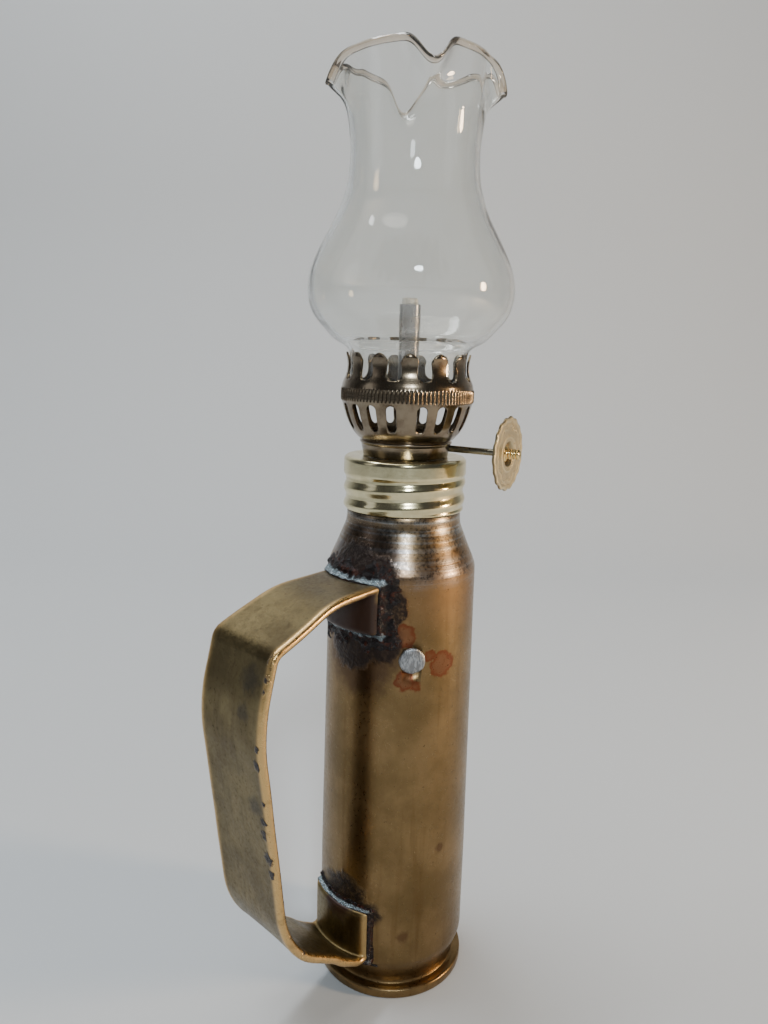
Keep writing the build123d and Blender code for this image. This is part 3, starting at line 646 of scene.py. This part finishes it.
# ---------------- pieces
def make_chimney():
    """Blown glass: straight fitter, round bulb, waist, and a top crimped into four spouts."""
    base_z = GLASS_LOW.z
    height = GLASS_HIGH.z - base_z
    bulb = GLASS_HIGH.x
    wall = 1.0
    foot = 10.6
    swell = bulb - foot
    shares = [
        (0.0, 0.0), (0.0, 0.05), (0.0, 0.095), (0.088, 0.128), (0.39, 0.154), (0.61, 0.186),
        (0.80, 0.216), (0.93, 0.25), (1.0, 0.3), (0.975, 0.35), (0.86, 0.401), (0.65, 0.462),
        (0.42, 0.522), (0.235, 0.584), (0.125, 0.644), (0.088, 0.73), (0.125, 0.79), (0.175, 0.846),
        (0.235, 0.895), (0.30, 0.945), (0.37, 0.985),
    ]
    outer = curve_through([(foot + swell * across, base_z + height * up) for across, up in shares], 6)
    inner = inward(outer, wall)
    bead = 0.78
    tip = outer[-1]
    mouth = inner[-1]
    lip = arc((tip[0] + mouth[0]) / 2 + 0.12, (tip[1] + mouth[1]) / 2 + 0.25, bead, -25, 205, 8)
    heel = [(foot - wall * share, base_z + up) for share, up in ((0.85, 0.12), (0.5, 0.0), (0.15, 0.12))]
    profile = outer[1:] + lip + inner[::-1][:-1] + heel
    start = base_z + height * 0.80

    def crimp(radius, level, degrees, index):
        share = (level - start) / (GLASS_HIGH.z - start)
        if share <= 0:
            return radius, level
        fade = smooth_step(share) * (0.35 + 0.65 * share)
        wave = 0.5 + 0.5 * math.cos(math.radians(4 * (degrees + 37)))
        spout = wave**8
        pinch = wave**3.2
        wander = 0.2 * math.sin(math.radians(degrees * 2 + 40))
        wander += 0.15 * math.sin(math.radians(degrees * 3 - 65))
        out = fade * (-1.3 + 3.3 * pinch + wander * 0.6)
        down = fade * (0.6 + 3.7 * spout + 0.5 * pinch + wander * 0.3)
        return radius + out, level - down

    around = 256
    piece = lathe("chimney", profile, GLASS, around, crimp)
    piece.data.materials.append(LIP_GLASS)
    for face in piece.data.polygons:
        ring = face.index // around
        if len(outer) - 3 <= ring < len(outer) + len(lip) - 1:
            face.material_index = 1
    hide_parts("glass_chimney")
    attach(piece, "chimney")


def make_case():
    """The case turned from its outer and inner outline, with a crisp rim and groove."""
    outer = [
        (4.65, 0.0), (9.0, 0.0), (13.9, 0.0), (14.45, 0.04), (14.68, 0.2), (RIM_RADIUS, 0.45),
        (RIM_RADIUS, 1.0), (RIM_RADIUS, 1.6), (14.66, 1.85), (14.4, 1.98), (13.6, 2.02), (13.12, 2.06),
        (13.0, 2.2), (13.0, 2.8), (13.0, 3.3), (13.08, 3.7), (13.3, 4.2), (13.9, 6.0), (14.36, 7.25),
        (14.5, 7.8), (BODY_RADIUS, 8.4),
    ]
    outer += [(BODY_RADIUS, BODY_STRAIGHT_TOP * share) for share in (0.4, 0.6, 0.8, 0.95)]
    span = SHOULDER_BOTTOM - BODY_STRAIGHT_TOP
    levels = [BODY_STRAIGHT_TOP + span * part / 12 for part in range(12)]
    outer += [(case_radius(level), level) for level in levels]
    shoulder = [
        (SHOULDER_RADIUS + 0.02, -0.8), (SHOULDER_RADIUS - 0.08, 0.2), (SHOULDER_RADIUS - 0.36, 1.1),
        (12.3, 4.15), (11.35, 6.5), (10.92, 7.6), (10.75, 8.5), (NECK_RADIUS, 9.3),
    ]
    outer += curve_through(raised(SHOULDER_BOTTOM, shoulder), 5)
    outer += [(NECK_RADIUS, CASE_TOP - 0.1), (NECK_RADIUS - 0.1, CASE_TOP)]
    bore = NECK_RADIUS - 0.9
    inner = [
        (bore + 0.05, CASE_TOP), (bore, CASE_TOP - 0.1), (bore, SHOULDER_TOP), (11.4, SHOULDER_BOTTOM + 4),
        (12.7, SHOULDER_BOTTOM), (12.8, 60.0), (12.35, 18.0), (12.0, 12.4), (10.5, 10.3), (9.0, 10.0),
        (1.2, 10.0), (1.2, 6.2), (4.6, 6.2), (4.6, 0.1),
    ]
    piece = lathe("case_shell", outer + inner, CASE, 192)
    drill(piece, 2.0, -4.0, 4.0, 48, PLUG_SPOT, PLUG_OUT)
    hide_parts("shell_case")
    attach(piece, "case")


def make_plug():
    """Solder that fills the old hole: a low, slightly lopsided disc with a rounded edge."""
    face = [(0.01, 0.36), (0.8, 0.36), (1.5, 0.34), (2.0, 0.28), (2.3, 0.16), (2.42, 0.0), (2.42, -0.35)]
    shank = [(2.0, -0.5), (1.98, -1.6), (0.01, -1.6)]

    def uneven(radius, level, degrees, index):
        if index >= len(face):
            return radius, level
        spot = polar(1, degrees, 0)
        swing = lump(spot.x * 1.4, spot.y * 1.4, 3.1)
        dent = lump(radius * 0.8 * spot.x, radius * spot.y, 1)
        return radius * (1 + 0.05 * swing), level + 0.08 * dent * (index < 5)

    piece = lathe("solder_plug", face + shank, SOLDER, 64, uneven, closed=False)
    place_along(piece, PLUG_SPOT, PLUG_OUT)
    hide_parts("hole_plug")
    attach(piece, "case")


TAB_WIDTH = 14.6
STRIP_WIDTH = 17.4
STRIP = 1.5                  # thickness of the handle's strip
EDGE_ROLL = 1.8              # how far in from its edge the strip's section is rounded
SOLDER_LIFT = 0.15
HANDLE_TOP = SHOULDER_BOTTOM - 1.3
HANDLE_FOOT = 8.9
TAB_HEIGHT = 8.8


def handle_path():
    """Middle line of the strip as (distance from the lamp's axis, height), with both tabs."""
    upper = case_radius(HANDLE_TOP - TAB_HEIGHT / 2) + SOLDER_LIFT + STRIP / 2
    lower = case_radius(HANDLE_FOOT) + SOLDER_LIFT + STRIP / 2
    points = [
        (upper, HANDLE_TOP - TAB_HEIGHT),
        (upper - 0.05, HANDLE_TOP - 0.4),
        (BODY_RADIUS + 9.85, HANDLE_TOP - 1.25),
        (BODY_RADIUS + 21.85, HANDLE_TOP - 6.55),
        (BODY_RADIUS + 24.8, HANDLE_TOP - 18.55),
        (BODY_RADIUS + 19.35, HANDLE_FOOT + 12.7),
        (lower + 6.4, HANDLE_FOOT + 4.5),
        (lower, HANDLE_FOOT - 1.5),
        (lower, HANDLE_FOOT + TAB_HEIGHT + 1.0),
    ]
    return resample(rounded(points, [0.8, 18, 2.6, 30, 18, 10, 1.2], 0.25), 0.45)


def strip_section():
    """Half the strip's section as (across 0 to 1, offset from the edge, thickness share, edge wear and
    painted glint).
    """
    flat = [(share, 0.0, 0.5, 0.0) for share in (0.0, 0.25, 0.5, 0.75, 0.88)]
    edge = [
        (1.0, -1.75, 0.5, 0.0), (1.0, -1.3, 0.51, 0.15), (1.0, -0.9, 0.52, 0.65), (1.0, -0.55, 0.49, 1.0),
        (1.0, -0.28, 0.40, 1.0), (1.0, -0.1, 0.26, 1.0), (1.0, -0.02, 0.12, 1.0), (1.0, 0.0, 0.0, 1.0),
    ]
    return flat + edge


def make_handle():
    """One bent strip: wide at the grip, narrower where its ends lie against the case."""
    path = handle_path()
    total = len(path)
    half = strip_section()
    across = [(-share, -offset, thick, wear_and_glint) for share, offset, thick, wear_and_glint in half[1:]][::-1] + half
    ring = across + [(share, offset, -thick, wear_and_glint) for share, offset, thick, wear_and_glint in across[1:-1]][::-1]
    vertices = []
    wear_and_glint_values = []
    for index, spot in enumerate(path):
        along = direction(path, index)
        normal = Vector((-along.y, along.x))
        share = smooth_step((spot.x - 14.5) / 20)
        half_width = (TAB_WIDTH + (STRIP_WIDTH - TAB_WIDTH) * share) / 2
        near_case = 1 - smooth_step((spot.x - 15.6) / 5)
        squeeze = min(index, total - 1 - index)
        ends = 1.0 if squeeze > 0 else 0.55
        for fraction, offset, thick, wear_and_glint in ring:
            y = fraction * (half_width - EDGE_ROLL) + offset
            y += EDGE_ROLL * fraction if abs(fraction) == 1 else 0
            sag = case_radius(spot.y) - math.sqrt(max(case_radius(spot.y) ** 2 - y * y, 1))
            crown = 0.35 * (1 - near_case) * (1 - (y / half_width) ** 2)
            point = spot + normal * (thick * STRIP * ends - crown * 0.6)
            wobble = 0.10 * lump(spot.x * 0.12, y * 0.15, spot.y * 0.12)
            vertices.append((-(point.x - sag * near_case + wobble * (1 - near_case)), y, point.y))
            # edge wear and painted glint, weaker where the strip lies against the case
            wear_and_glint_values.append(wear_and_glint * (0.55 + 0.45 * (1 - near_case)))
    around = len(ring)
    faces = tube_faces(total, around, False) + end_faces(total, around)
    piece = new_object("handle_strip", vertices, faces, HANDLE)
    # the edge attribute carries the rolled edges' wear and their painted glint
    paint(piece, "edge", wear_and_glint_values)
    fix_normals(piece)
    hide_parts("handle")
    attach(piece, "case")


def tab_edge_distance(across, height, low, high, half_width):
    """Distance outside the tab's outline, negative inside."""
    dx = abs(across) - half_width
    dz = max(low - height, height - high)
    if dx > 0 and dz > 0:
        return math.hypot(dx, dz)
    return max(dx, dz)


def make_solder(name, node, low, high, seed, reach_up, reach_side, reach_down, fillet_width):
    """Solder run smooth along a tab's edges, in a lumpy crust of burnt flux that fades out on the case.

    The tab reaches from low to high; the crust spreads up, sideways and down from it by the three reaches.
    """
    columns = 150
    rows = 130
    half_width = TAB_WIDTH / 2
    vertices = []
    metal = []
    bottom = low - reach_down * 1.6 - 0.5
    top = high + reach_up * 1.6 + 0.5
    wide = half_width + reach_side * 1.6 + 0.5
    for row in range(rows + 1):
        height = bottom + (top - bottom) * row / rows
        for column in range(columns + 1):
            across = wide * (2 * column / columns - 1)
            radius = case_radius(height)
            angle = 180 + math.degrees(math.asin(min(max(across / (radius + 0.5), -0.98), 0.98)))
            gap = tab_edge_distance(across, height, low, high, half_width)
            slow = lump(across * 0.28 + seed, height * 0.28, seed)
            rough = lump(across * 0.9 + seed, height * 0.9, seed)
            fine = lump(across * 2.2, height * 2.2 + seed, 2.0)
            if height > high:
                reach = reach_up
            elif height < low:
                reach = reach_down
            else:
                reach = reach_side
            reach *= 1 + 0.7 * slow + 0.3 * rough
            share = max(0.0, 1 - max(gap, 0.0) / max(reach, 0.3))
            crust = (0.10 + 0.45 * max(rough + 0.30, 0) + 0.30 * max(fine, 0)) * min(share * 3, 1.0) ** 0.6
            blend = max(0.0, 1 - max(gap, 0.0) / (fillet_width * (1 + 0.5 * rough)))
            lift = max(crust, 1.15 * blend**1.7) if share > 0 else -0.25
            if gap < -0.5:
                lift = 0.1
            vertices.append(polar(radius + lift, angle, height))
            broken = 0.35 if low < height < high else 0.75
            metal.append(min(blend * 1.4, 1.0) * (broken + 0.35 * slow))
    faces = []
    stride = columns + 1
    for row in range(rows):
        for column in range(columns):
            corner = row * stride + column
            faces.append((corner, corner + 1, corner + stride + 1, corner + stride))
    piece = new_object(name, vertices, faces, BURNT_SOLDER)
    paint(piece, "metal", metal)
    modifier = piece.modifiers.new("thick", "SOLIDIFY")
    modifier.thickness = 0.3 * MM
    modifier.offset = -1
    apply_modifiers(piece)
    fix_normals(piece)
    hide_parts(node)
    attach(piece, "case")


def make_cap():
    """Screw cap pressed from thin brass, with the thread rolled into its side."""
    pitch = 3.15
    outer_radius = CAP_HIGH.x
    bottom = CAP_LOW.z
    top = CAP_HIGH.z
    inside = outer_radius - 0.35
    profile = straight(outer_radius - 0.05, bottom + 0.15, top - 0.9, 64)
    profile += arc(outer_radius - 0.85, top - 0.85, 0.8, 90 / 8, 90, 7)
    profile += raised(top, [
        (9.5, -0.03), (8.2, -0.05), (7.2, -0.1), (6.7, -0.3), (6.5, -0.7), (6.5, -2.5), (2.0, -2.5),
        (2.0, -3.0), (7.0, -3.0), (7.0, -0.75), (inside - 0.7, -0.75), (inside - 0.2, -0.95), (inside, -1.5),
    ])
    profile += straight(inside, top - 3.0, bottom + 0.1, 30)
    profile += [(inside + 0.08, bottom), (outer_radius - 0.15, bottom)]

    def roll(radius, level, degrees, index):
        if radius < inside - 0.02 or level > top - 2.9:
            return radius, level
        turns = (level - bottom - 1.4) / pitch - (degrees - VIEWER_AZIMUTH + 360) / 360
        swell = 0.5 + 0.5 * math.cos(2 * math.pi * turns)
        fade = smooth_step((level - bottom) / 0.8) * smooth_step((top - 2.9 - level) / 1.0)
        groove = 0.46 * (1 - swell) * fade
        flare = 0.25 * (1 - smooth_step((level - bottom) / 0.6))
        return radius - groove - flare, level

    piece = lathe("screw_cap_rolled", profile, CAP, 192, roll)
    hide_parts("screw_cap")
    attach(piece, "burner")


def make_drum():
    """Plain low drum under the basket, with a rolled bead and the spindle's hole."""
    low, high = box_mm("burner_drum")
    tall = high.z - low.z
    profile = raised(low.z, [
        (7.40, 0.02), (7.85, 0.0), (7.9, 0.2), (8.0, 0.8), (8.18, 1.6), (8.28, 2.1), (8.34, 2.3),
        (8.5, 2.42), (8.58, 2.6), (8.56, 2.8), (8.4, 2.95), (8.3, 3.05), (8.3, tall), (7.85, tall),
        (7.85, 2.2), (7.55, 0.9),
    ])
    piece = lathe("burner_drum_shell", profile, BURNER, 128)
    drill(piece, 0.72, 0.0, 12.0, 32, SPINDLE_FOOT, SPINDLE_OUT)
    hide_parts("burner_drum")
    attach(piece, "burner")


def make_basket():
    """Slotted cone, knurled band, ledge and sprung prongs, pressed from one shell."""
    bottom = BASKET_LOW.z
    band_low = bottom + 6.85
    band_top = bottom + 9.25
    tip = BASKET_HIGH.z
    band = 12.17
    wall = 0.36
    outer = raised(bottom, [
        (7.5, 0.0), (8.45, 0.0), (8.75, 0.12), (9.0, 0.35), (9.5, 0.9), (10.05, 1.6), (10.7, 2.8),
        (11.2, 4.0), (11.6, 5.3), (11.9, 6.4),
    ])
    outer += raised(band_low, [(12.0, -0.12)] + [(band, up) for up in (0.02, 0.3, 0.7, 1.2, 1.7, 2.1)])
    outer += raised(band_top, [
        (band, -0.02), (12.08, 0.12), (12.03, 0.5), (11.93, 0.9), (11.73, 1.4), (11.45, 2.0), (11.22, 2.7),
        (11.12, 3.4), (11.1, 4.1), (11.16, 4.7), (11.28, 5.4),
    ])
    outer.append((11.42, tip - 0.1))
    inner = inward(outer, wall)
    knurls = 104

    def knurl(radius, level, degrees, index):
        if index >= len(outer) or not band_low - 0.05 < level < band_top + 0.02 or radius < band - 0.05:
            return radius, level
        wave = math.cos(math.radians(degrees * knurls))
        ends = smooth_step((level - band_low + 0.02) / 0.3) * smooth_step((band_top - level + 0.06) / 0.3)
        return radius + 0.13 * wave * ends - 0.05, level

    piece = lathe("gallery", outer + inner[::-1], BURNER, knurls * 6, knurl)
    cut(piece, slot_cutters(bottom))
    cut(piece, prong_cutters(band_top, tip))
    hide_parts("gallery_basket")
    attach(piece, "burner")


def prism(outline, azimuth, start, end):
    """Vertices and faces of a radial prism from (across, height) points."""
    vertices = []
    out = polar(1, azimuth, 0)
    side = Vector((-out.y, out.x, 0))
    for radius in (start, end):
        spread = radius / ((start + end) / 2)
        for across, height in outline:
            vertices.append(out * radius + side * across * spread + Vector((0, 0, height)))
    count = len(outline)
    faces = [tuple(range(count)), tuple(reversed(range(count, 2 * count)))]
    for step in range(count):
        beside = (step + 1) % count
        faces.append((step, step + count, beside + count, beside))
    return vertices, faces


def joined_prisms(name, outlines):
    """One cutter mesh from many prisms."""
    vertices = []
    faces = []
    for outline, azimuth, start, end in outlines:
        more, sides = prism(outline, azimuth, start, end)
        faces += [tuple(index + len(vertices) for index in face) for face in sides]
        vertices += more
    piece = new_object(name, vertices, faces, BURNER, smooth=False)
    fix_normals(piece)
    return piece


def slot_cutters(bottom):
    """Round-ended slots up the cone, evenly spaced on either side of one wider land that faces the camera."""
    spacing = 18.5
    count = 19
    land = 223.5
    half = 0.88
    outline = arc(0.0, bottom + 1.95 + half, half, 180, 360, 8)
    outline += arc(0.0, bottom + 6.55 - half, half, 0, 180, 8)
    first = land + (360 - spacing * (count - 1)) / 2
    azimuths = [first + index * spacing for index in range(count)]
    return joined_prisms("slot_cutter", [(outline, azimuth, 7.9, 13.5) for azimuth in azimuths])


def prong_cutters(band_top, tip):
    """Gaps between the prongs, shaped so that each prong has a waist and an arched, pointed tip."""
    count = 13
    edge = math.pi * 11.1 / count - 0.04
    level = band_top + 2.0
    right = raised(level, [
        (0.5, -0.42), (0.95, -0.18), (1.25, 0.2), (1.38, 0.8), (1.38, 1.5), (1.28, 2.2), (1.16, 2.7),
        (1.2, 3.0), (1.42, 3.4), (1.75, 3.8), (2.2, 4.12),
    ]) + [(edge, tip - 0.08)]
    outline = [(0.0, level - 0.5)] + right + [(edge, tip + 1), (-edge, tip + 1)]
    outline += [(-across, height) for across, height in right[::-1]]
    azimuths = [VIEWER_AZIMUTH + (index + 0.5) * 360 / count for index in range(count)]
    return joined_prisms("prong_cutter", [(outline, azimuth, 9.4, 12.8) for azimuth in azimuths])


def make_knob():
    """Scalloped disc with a faint pressed ring and rim, and a hub sunk behind its face."""
    radius = 6.7
    thick = 0.5
    rings = 60
    around = 252
    half = thick / 2

    def relief(share, angle):
        """Height of the faint pressed pattern at this share of the radius."""
        rim = math.exp(-(((share - 0.93) / 0.04) ** 2))
        ring = math.exp(-(((share - 0.46) / 0.03) ** 2))
        leaf_line = 0.68 + 0.10 * abs(math.sin(4.5 * angle))
        leaf = math.exp(-(((share - leaf_line) / 0.03) ** 2)) if share > 0.5 else 0.0
        return 0.08 * rim + 0.07 * ring + 0.05 * leaf

    def edge(angle):
        return radius - 0.13 + 0.13 * math.cos(18 * angle) + 0.05 * math.cos(7 * angle + 1)

    vertices = []
    hollow = []
    front = [(1, ring) for ring in range(rings + 1)]
    back = [(-1, ring) for ring in reversed(range(rings + 1))]
    for side, ring in front + back:
        share = 0.1 + 0.9 * ring / rings
        for step in range(around):
            angle = 2 * math.pi * step / around
            reach = edge(angle) * share if share > 0.85 else radius * share * (1 - 0.02 * share)
            pattern = relief(share, angle)
            sunk = -0.9 * (1 - smooth_step((radius * share - 1.7) / 0.7))
            level = side * half * (1 if ring < rings else 0.6) + sunk + pattern * (1 if side > 0 else 0.8)
            vertices.append((reach * math.cos(angle), reach * math.sin(angle), level))
            hollow.append(1.0 if ring == rings else max(0.0, 1 - pattern / 0.03) * 0.25 - sunk * 0.8)
    piece = new_object("knob_rosette", vertices, tube_faces(2 * (rings + 1), around, True), KNOB)
    paint(piece, "hollow", hollow)
    fix_normals(piece)
    place_along(piece, SPINDLE_FOOT + SPINDLE_OUT * KNOB_REACH, SPINDLE_OUT)
    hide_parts("knob_disc")
    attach(piece, "raiser")
    make_stub(KNOB_REACH - 0.62)


def make_stub(start):
    """Small turned sleeve riveted over the spindle's end."""
    profile = [(0.62, 0.0), (1.5, 0.0), (1.55, 0.15), (1.45, 0.35), (1.2, 0.45), (0.95, 0.55)]
    for groove in range(4):
        ridge = [(0.95, 0.0), (0.97, 0.1), (0.8, 0.2), (0.78, 0.28), (0.95, 0.38)]
        profile += raised(0.62 + groove * 0.48, ridge)
    profile += [(0.97, 2.6), (0.95, 2.75), (0.8, 2.93), (0.5, 3.0), (0.2, 2.92), (0.01, 2.9)]
    piece = lathe("knob_stub_turned", profile, STUB, 48, closed=False)
    place_along(piece, SPINDLE_FOOT + SPINDLE_OUT * start, SPINDLE_OUT)
    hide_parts("knob_stub")
    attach(piece, "raiser")


def make_wick():
    """Braided round wick with a cut, slightly frayed end."""
    low, high = box_mm("wick")
    radius = high.x - 0.03
    profile = [(0.01, low.z), (radius * 0.8, low.z), (radius, low.z + 2)]
    profile += straight(radius, TUBE_LOW.z - 6, high.z - 0.25, 260)
    profile += [(radius * 0.86, high.z - 0.08), (radius * 0.5, high.z), (0.01, high.z - 0.05)]

    def braid(reach, level, degrees, index):
        if reach < 0.5:
            return reach, level
        left = math.cos(math.radians(degrees * 6) + level * 3.0)
        right = math.cos(math.radians(degrees * 6) - level * 3.0)
        spot = polar(3, degrees, level * 2)
        fray = 0.15 * noise.noise(spot)
        tip = smooth_step((level - high.z + 0.8) / 0.6)
        return reach - 0.09 + 0.08 * max(left, right) + fray * tip * 0.4, level + fray * tip

    piece = lathe("wick_braid", profile, COTTON, 48, braid, closed=False)
    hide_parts("wick")
    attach(piece, "wick")


def dress_cad_nodes():
    """Better materials on the CAD nodes that stay."""
    finishes = {
        "primer_cup": PRIMER, "primer_insulator": INSULATOR, "primer_button": BUTTON,
        "flash_hole_plug": SOLDER, "neck_collar": CAP, "cap_gasket": GASKET, "wick_tube": TUBE,
        "spindle_bracket": BURNER, "draft_plate": BURNER, "spindle": SPINDLE, "wick_sprocket": SPINDLE,
    }
    for name, finish in finishes.items():
        slots = NODES[name].material_slots
        for slot in slots:
            slot.material = finish
        if not slots:
            NODES[name].data.materials.append(finish)


# ---------------- stage, light and camera
RIGHT = Vector((math.sqrt(0.5), -math.sqrt(0.5), 0))
AWAY = Vector((math.sqrt(0.5), math.sqrt(0.5), 0))
AIM_HEIGHT = 0.09            # what the lights point at, in metres
CAMERA_SPOT = (-0.00369, -0.1489, 0.1237)
CAMERA_PITCH = 11.35         # degrees down
CAMERA_ROLL = 1.6
LENS = 28.125


def seen_from_front(right, away, up):
    """Point this far to the right of, behind and above the origin as the viewer sees them, in metres."""
    return RIGHT * right + AWAY * away + Vector((0, 0, up))


def make_stage():
    """Pale floor that curves up into a pale wall behind the lamp."""
    wall = Finish("pale_wall", (0.70, 0.73, 0.75), 0.0, 0.8)
    bend = 0.25
    flat_end = 0.30
    profile = [(-2.5, 0.0)] + arc(flat_end, bend, bend, -90, 0, 16) + [(flat_end + bend, 2.2)]
    vertices = []
    for away, up in profile:
        for right in (-3.0, 3.0):
            vertices.append(seen_from_front(right, away, up) / MM)
    faces = [(2 * index, 2 * index + 1, 2 * index + 3, 2 * index + 2) for index in range(len(profile) - 1)]
    new_object("backdrop", vertices, faces, wall.material)


def add_light(name, spot, size, power, colour):
    """Soft box aimed at the middle of the lamp: its place and size in metres and its power in watts."""
    light = bpy.data.lights.new(name, "AREA")
    light.shape = "ELLIPSE"
    light.size = size[0]
    light.size_y = size[1]
    light.energy = power
    light.color = colour
    lamp = bpy.data.objects.new(name, light)
    lamp.location = seen_from_front(*spot)
    aim = Vector((0, 0, AIM_HEIGHT)) - lamp.location
    lamp.rotation_euler = aim.to_track_quat("-Z", "Y").to_euler()
    bpy.context.scene.collection.objects.link(lamp)


def light_scene():
    """Five soft boxes, and a faint world that looks pale grey to the camera and through glass."""
    world = bpy.data.worlds.new("studio")
    world.use_nodes = True
    nodes = world.node_tree.nodes
    background = nodes["Background"]
    background.inputs["Color"].default_value = (0.80, 0.86, 0.94, 1)
    background.inputs["Strength"].default_value = 0.07
    seen = nodes.new("ShaderNodeBackground")
    seen.inputs["Color"].default_value = (0.50, 0.52, 0.54, 1)
    rays = nodes.new("ShaderNodeLightPath")
    straight = nodes.new("ShaderNodeMath")
    straight.operation = "MAXIMUM"
    mix = nodes.new("ShaderNodeMixShader")
    link = world.node_tree.links.new
    link(rays.outputs["Is Camera Ray"], straight.inputs[0])
    link(rays.outputs["Is Transmission Ray"], straight.inputs[1])
    link(straight.outputs["Value"], mix.inputs["Fac"])
    link(background.outputs["Background"], mix.inputs[1])
    link(seen.outputs["Background"], mix.inputs[2])
    link(mix.outputs["Shader"], nodes["World Output"].inputs["Surface"])
    bpy.context.scene.world = world
    add_light("key", (0.60, -0.10, 0.17), (0.08, 0.14), 2.9, (1.0, 0.72, 0.44))
    add_light("front", (0.08, -0.88, 0.60), (0.16, 0.16), 4.2, (0.84, 0.93, 1.0))
    add_light("top", (-0.15, -0.05, 0.95), (0.6, 0.6), 2.2, (1.0, 0.97, 0.93))
    add_light("left_fill", (-0.75, -0.25, 0.35), (0.3, 0.5), 0.25, (0.90, 0.94, 1.0))
    add_light("wall_wash", (-0.35, 0.22, 0.85), (0.7, 0.12), 3.2, (0.92, 0.96, 1.0))


def add_camera():
    pitch = math.radians(CAMERA_PITCH)
    roll = math.radians(CAMERA_ROLL)
    forward = AWAY * math.cos(pitch) - Vector((0, 0, math.sin(pitch)))
    upward = RIGHT.cross(forward)
    right = RIGHT * math.cos(roll) + upward * math.sin(roll)
    up = upward * math.cos(roll) - RIGHT * math.sin(roll)
    camera_data = bpy.data.cameras.new("camera")
    camera_data.sensor_width = 36
    camera_data.lens = LENS
    camera_data.clip_start = 0.005
    camera = bpy.data.objects.new("camera", camera_data)
    turn = Matrix((right, up, -forward)).transposed().to_4x4()
    camera.matrix_world = Matrix.Translation(seen_from_front(*CAMERA_SPOT)) @ turn
    bpy.context.scene.collection.objects.link(camera)
    bpy.context.scene.camera = camera


add_camera()
make_stage()
light_scene()
make_case()
make_plug()
make_handle()
UPPER_TAB = (HANDLE_TOP - TAB_HEIGHT, HANDLE_TOP + 0.4)
LOWER_TAB = (HANDLE_FOOT - 1.2, HANDLE_FOOT + TAB_HEIGHT + 1.0)
make_solder("solder_upper", "handle_solder_upper", *UPPER_TAB, 4.0, 3.4, 2.6, 3.0, 1.5)
make_solder("solder_lower", "handle_solder_lower", *LOWER_TAB, 9.0, 0.9, 0.5, 0.4, 0.7)
make_cap()
make_drum()
make_basket()
make_knob()
make_wick()
make_chimney()
dress_cad_nodes()
